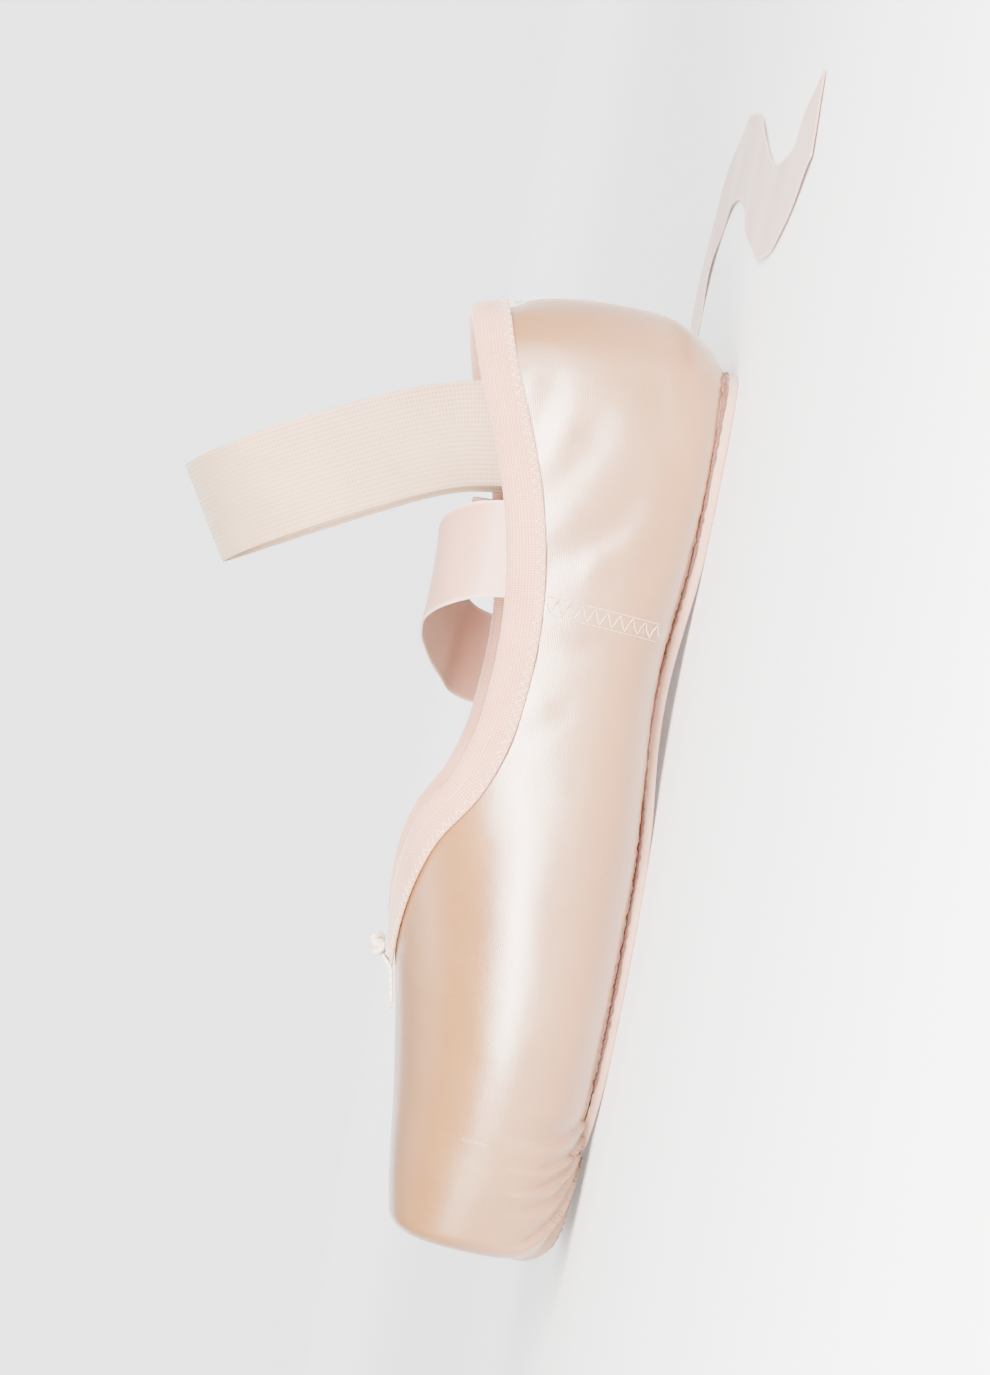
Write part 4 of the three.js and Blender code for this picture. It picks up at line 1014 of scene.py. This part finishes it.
route, heading, run = even_route(np.concatenate([ELASTIC_ROUTE, ELASTIC_ROUTE[-2::-1] * [-1, 1, 1]]), 190)
from_middle = np.abs(2 * run / run[-1] - 1)
lean = ELASTIC_LEAN[0] + (ELASTIC_LEAN[1] - ELASTIC_LEAN[0]) * (1 - from_middle ** 2)
across = np.stack([0 * lean, np.cos(lean), np.sin(lean)], -1)
lanes = np.linspace(-1, 1, 49)
ribs = 0.05 * np.cos(2 * np.pi * ELASTIC_RIBS * lanes) - 0.15 * np.abs(lanes) ** 24
rings, _ = band(route, heading, across, ELASTIC_WIDTH, ELASTIC_CLOTH, lanes, ribs,
                ELASTIC_CUP * smooth(from_middle, 0.45, 0.85))
put("elastic_loop", ring_mesh(rings), elastic_material(), ["ankle_elastic"],
    band_cloth(run, lanes, ELASTIC_WIDTH), sharp=60)
put("elastic_stitches", end_stitches(rings, lanes, 2, 9), cream_thread)

# ---- Ribbons ----
# Two satin ribbons with woven edges, sewn inside the sides behind the side seams. Each passes over
# the far rim, falls to the floor beside the shoe, and lies there in one loose curve.
RIBBON_WIDTH, RIBBON_CLOTH = 23.0, 0.5
# Each ribbon's route, and the shares of it between which it turns from on edge to flat.
RIBBONS = {
    "ribbon_left": (np.array([
        (28.6, 52, 31), (26.2, 51.8, 38), (24.6, 51, 46), (22.2, 49.5, 54), (16.5, 46.5, 60),
        (8.5, 43, 63), (0, 39, 62.5), (-10, 34, 59.5), (-20, 29.5, 55.5), (-29.5, 26, 51.4),
        (-36.7, 24.5, 44.8), (-38.7, 23.8, 35), (-39, 23, 24), (-39.7, 22, 13), (-43.8, 20, 4),
        (-54, 15, 1.1), (-64, 4, 0.9), (-70, -20, 0.8), (-72, -47, 0.8), (-74, -74, 0.8),
        (-84, -99, 0.8), (-106, -114, 0.8), (-132, -109, 0.8), (-147, -88, 0.8), (-150, -61, 0.8),
        (-145, -34, 0.8), (-137, -8, 0.8), (-131, 18, 0.8), (-131, 40, 0.8)]), (0.29, 0.36)),
    "ribbon_right": (np.array([
        (-28.6, 52, 31), (-26.2, 52, 38), (-24.3, 52.1, 45), (-24.2, 52.2, 51.5), (-27.8, 52.4, 56),
        (-32.6, 52.8, 54.4), (-35.2, 53.2, 46.5), (-35.4, 53.6, 34), (-35.8, 54.2, 20),
        (-38, 55, 8.5), (-44, 57, 2.2), (-55, 61, 0.9), (-79, 65, 0.8), (-106, 72, 0.8),
        (-130, 86, 0.8), (-145, 109, 0.8), (-145, 136, 0.8), (-129, 158, 0.8), (-103, 168, 0.8),
        (-75, 168, 0.8), (-48, 161, 0.8), (-22, 151, 0.8), (5, 144, 0.8), (33, 142, 0.8),
        (60, 147, 0.8), (85, 157, 0.8)]), (0.19, 0.26))}


def ribbon_material():
    """Ribbon satin: pinkish white, floats along it that shine, and a plain woven edge each side."""
    look = Look("ribbon_satin", {"Anisotropic": 0.5, "Sheen Weight": 0.2, "Coat Weight": 0.1,
                                 "Coat Roughness": 0.3, "Specular IOR Level": 0.65})
    height, _ = look.weave(2600, 3200, 700)
    base = look.patches(look.cloth(), 40.0, (198, 148, 126), (188, 134, 112))
    edge = look.mark("edge")
    look.join("Base Color", look.toward(base, (226, 198, 184), edge, 0.4, most=0.6))
    look.join("Roughness", look.spread(edge, 0.4, 1, 0.36, 0.7))
    look.shine_along()
    look.bump(height, 0.00004, 0.4)
    return look.material


ribbon_satin = ribbon_material()
lanes = np.sin(np.linspace(-np.pi / 2, np.pi / 2, 17))
selvedge = 0.07 * smooth(np.abs(lanes), 0.9, 0.95) - 0.12 * smooth(np.abs(lanes), 0.96, 1)
lane_of = np.concatenate([lanes, lanes[::-1]])
for name, (places, landing) in RIBBONS.items():
    route, heading, run = even_route(places, 330)
    share = (run / run[-1])[:, None]
    across = [0, 1, 0] + (np.cross(heading, [0, 0, 1]) - [0, 1, 0]) * smooth(share, *landing)
    rings, face = band(route, heading, across, RIBBON_WIDTH, RIBBON_CLOTH, lanes, selvedge)
    curl = 0.2 * np.sin(run / 6.1 + 1)[:, None] * lane_of ** 2 * np.sign(lane_of)
    on_floor = smooth(share, landing[1], landing[1] + 0.05)
    rings = rings + face * (on_floor * (0.22 * np.sin(run / 8.5)[:, None] + curl))[..., None]
    edge = np.broadcast_to(smooth(np.abs(lane_of), 0.9, 0.95), rings.shape[:2]).reshape(-1)
    ribbon = put(name + "_satin", ring_mesh(rings), ribbon_satin, [name],
                 band_cloth(run, lanes, RIBBON_WIDTH), {"edge": edge}, sharp=60)
    put(name + "_stitches", end_stitches(rings, lanes, 3, 12, (False,)), cream_thread)

# ---- Floor, light and view ----
# A pale studio sweep: a level floor that turns up into a wall all round, far from the shoe.
SWEEP_FLAT, SWEEP_BEND = 2200.0, 1300.0


def studio_sweep():
    """A profile turned about Z: flat out to SWEEP_FLAT, then a quarter circle."""
    bend = np.linspace(0, np.pi / 2, 16)
    reach = np.concatenate([[0.0, SWEEP_FLAT / 2], SWEEP_FLAT + SWEEP_BEND * np.sin(bend)])[:, None]
    height = np.concatenate([[0.0, 0.0], SWEEP_BEND * (1 - np.cos(bend))])[:, None]
    turn = np.linspace(0, 2 * np.pi, 97)
    points = np.stack([reach * np.cos(turn), reach * np.sin(turn), height + 0 * turn], -1)
    return points.reshape(-1, 3), grid_faces(len(reach), len(turn))


paper = Look("studio_paper", {"Roughness": 0.9, "Base Color": (0.92, 0.92, 0.92, 1),
                              "Emission Color": (1, 1, 1, 1), "Emission Strength": 0.28})
points, faces = studio_sweep()
mesh = bpy.data.meshes.new("studio_floor")
mesh.from_pydata((points * MM).tolist(), [], faces.tolist())
mesh.polygons.foreach_set("use_smooth", [True] * len(faces))
mesh.materials.append(paper.material)
floor = bpy.data.objects.new("studio_floor", mesh)
bpy.context.scene.collection.objects.link(floor)


def soft_light(name, place, aim, size, power, tint=(1, 1, 1)):
    """A soft box of a size in metres, at a place, turned to face a point."""
    lamp = bpy.data.lights.new(name, "AREA")
    lamp.shape = "RECTANGLE"
    lamp.size, lamp.size_y = size
    lamp.energy, lamp.color = power, tint
    box = bpy.data.objects.new(name, lamp)
    box.location = place
    box.rotation_euler = (Vector(aim) - Vector(place)).to_track_quat("-Z", "Y").to_euler()
    bpy.context.scene.collection.objects.link(box)


soft_light("key", (1.15, 0.12, 0.5), (0, 0, 0.03), (1.6, 0.26), 132, (1, 0.985, 0.96))
soft_light("toe_fill", (0.9, -1.1, 0.5), (0, -0.05, 0.03), (0.8, 0.5), 4)
soft_light("top", (-0.6, 0.2, 1.5), (0, 0, 0.03), (1.2, 1.2), 20)
soft_light("wall", (-1.3, 0, 1.5), (-2.8, 0, 0.3), (3.0, 1.0), 110)
world = bpy.data.worlds.new("studio")
world.use_nodes = True
world.node_tree.nodes["Background"].inputs["Color"].default_value = (1, 1, 1, 1)
world.node_tree.nodes["Background"].inputs["Strength"].default_value = 0.35
bpy.context.scene.world = world

# The shoe is seen from its +X side, a little from above, rolled so that the toe points down.
VIEW_UP, VIEW_ROLL = np.radians((2.5, 11))
VIEW_DISTANCE = 0.93
VIEW_MIDDLE = Vector((0, 0.018, 0.043))
away = Vector((np.cos(VIEW_UP), 0, np.sin(VIEW_UP)))
right = away.cross(Vector((0, -np.cos(VIEW_ROLL), -np.sin(VIEW_ROLL)))).normalized()
camera_data = bpy.data.cameras.new("camera")
camera_data.lens = 100
camera = bpy.data.objects.new("camera", camera_data)
camera.matrix_world = Matrix((right, away.cross(right), away)).transposed().to_4x4()
camera.location = VIEW_MIDDLE + away * VIEW_DISTANCE
bpy.context.scene.collection.objects.link(camera)
bpy.context.scene.camera = camera
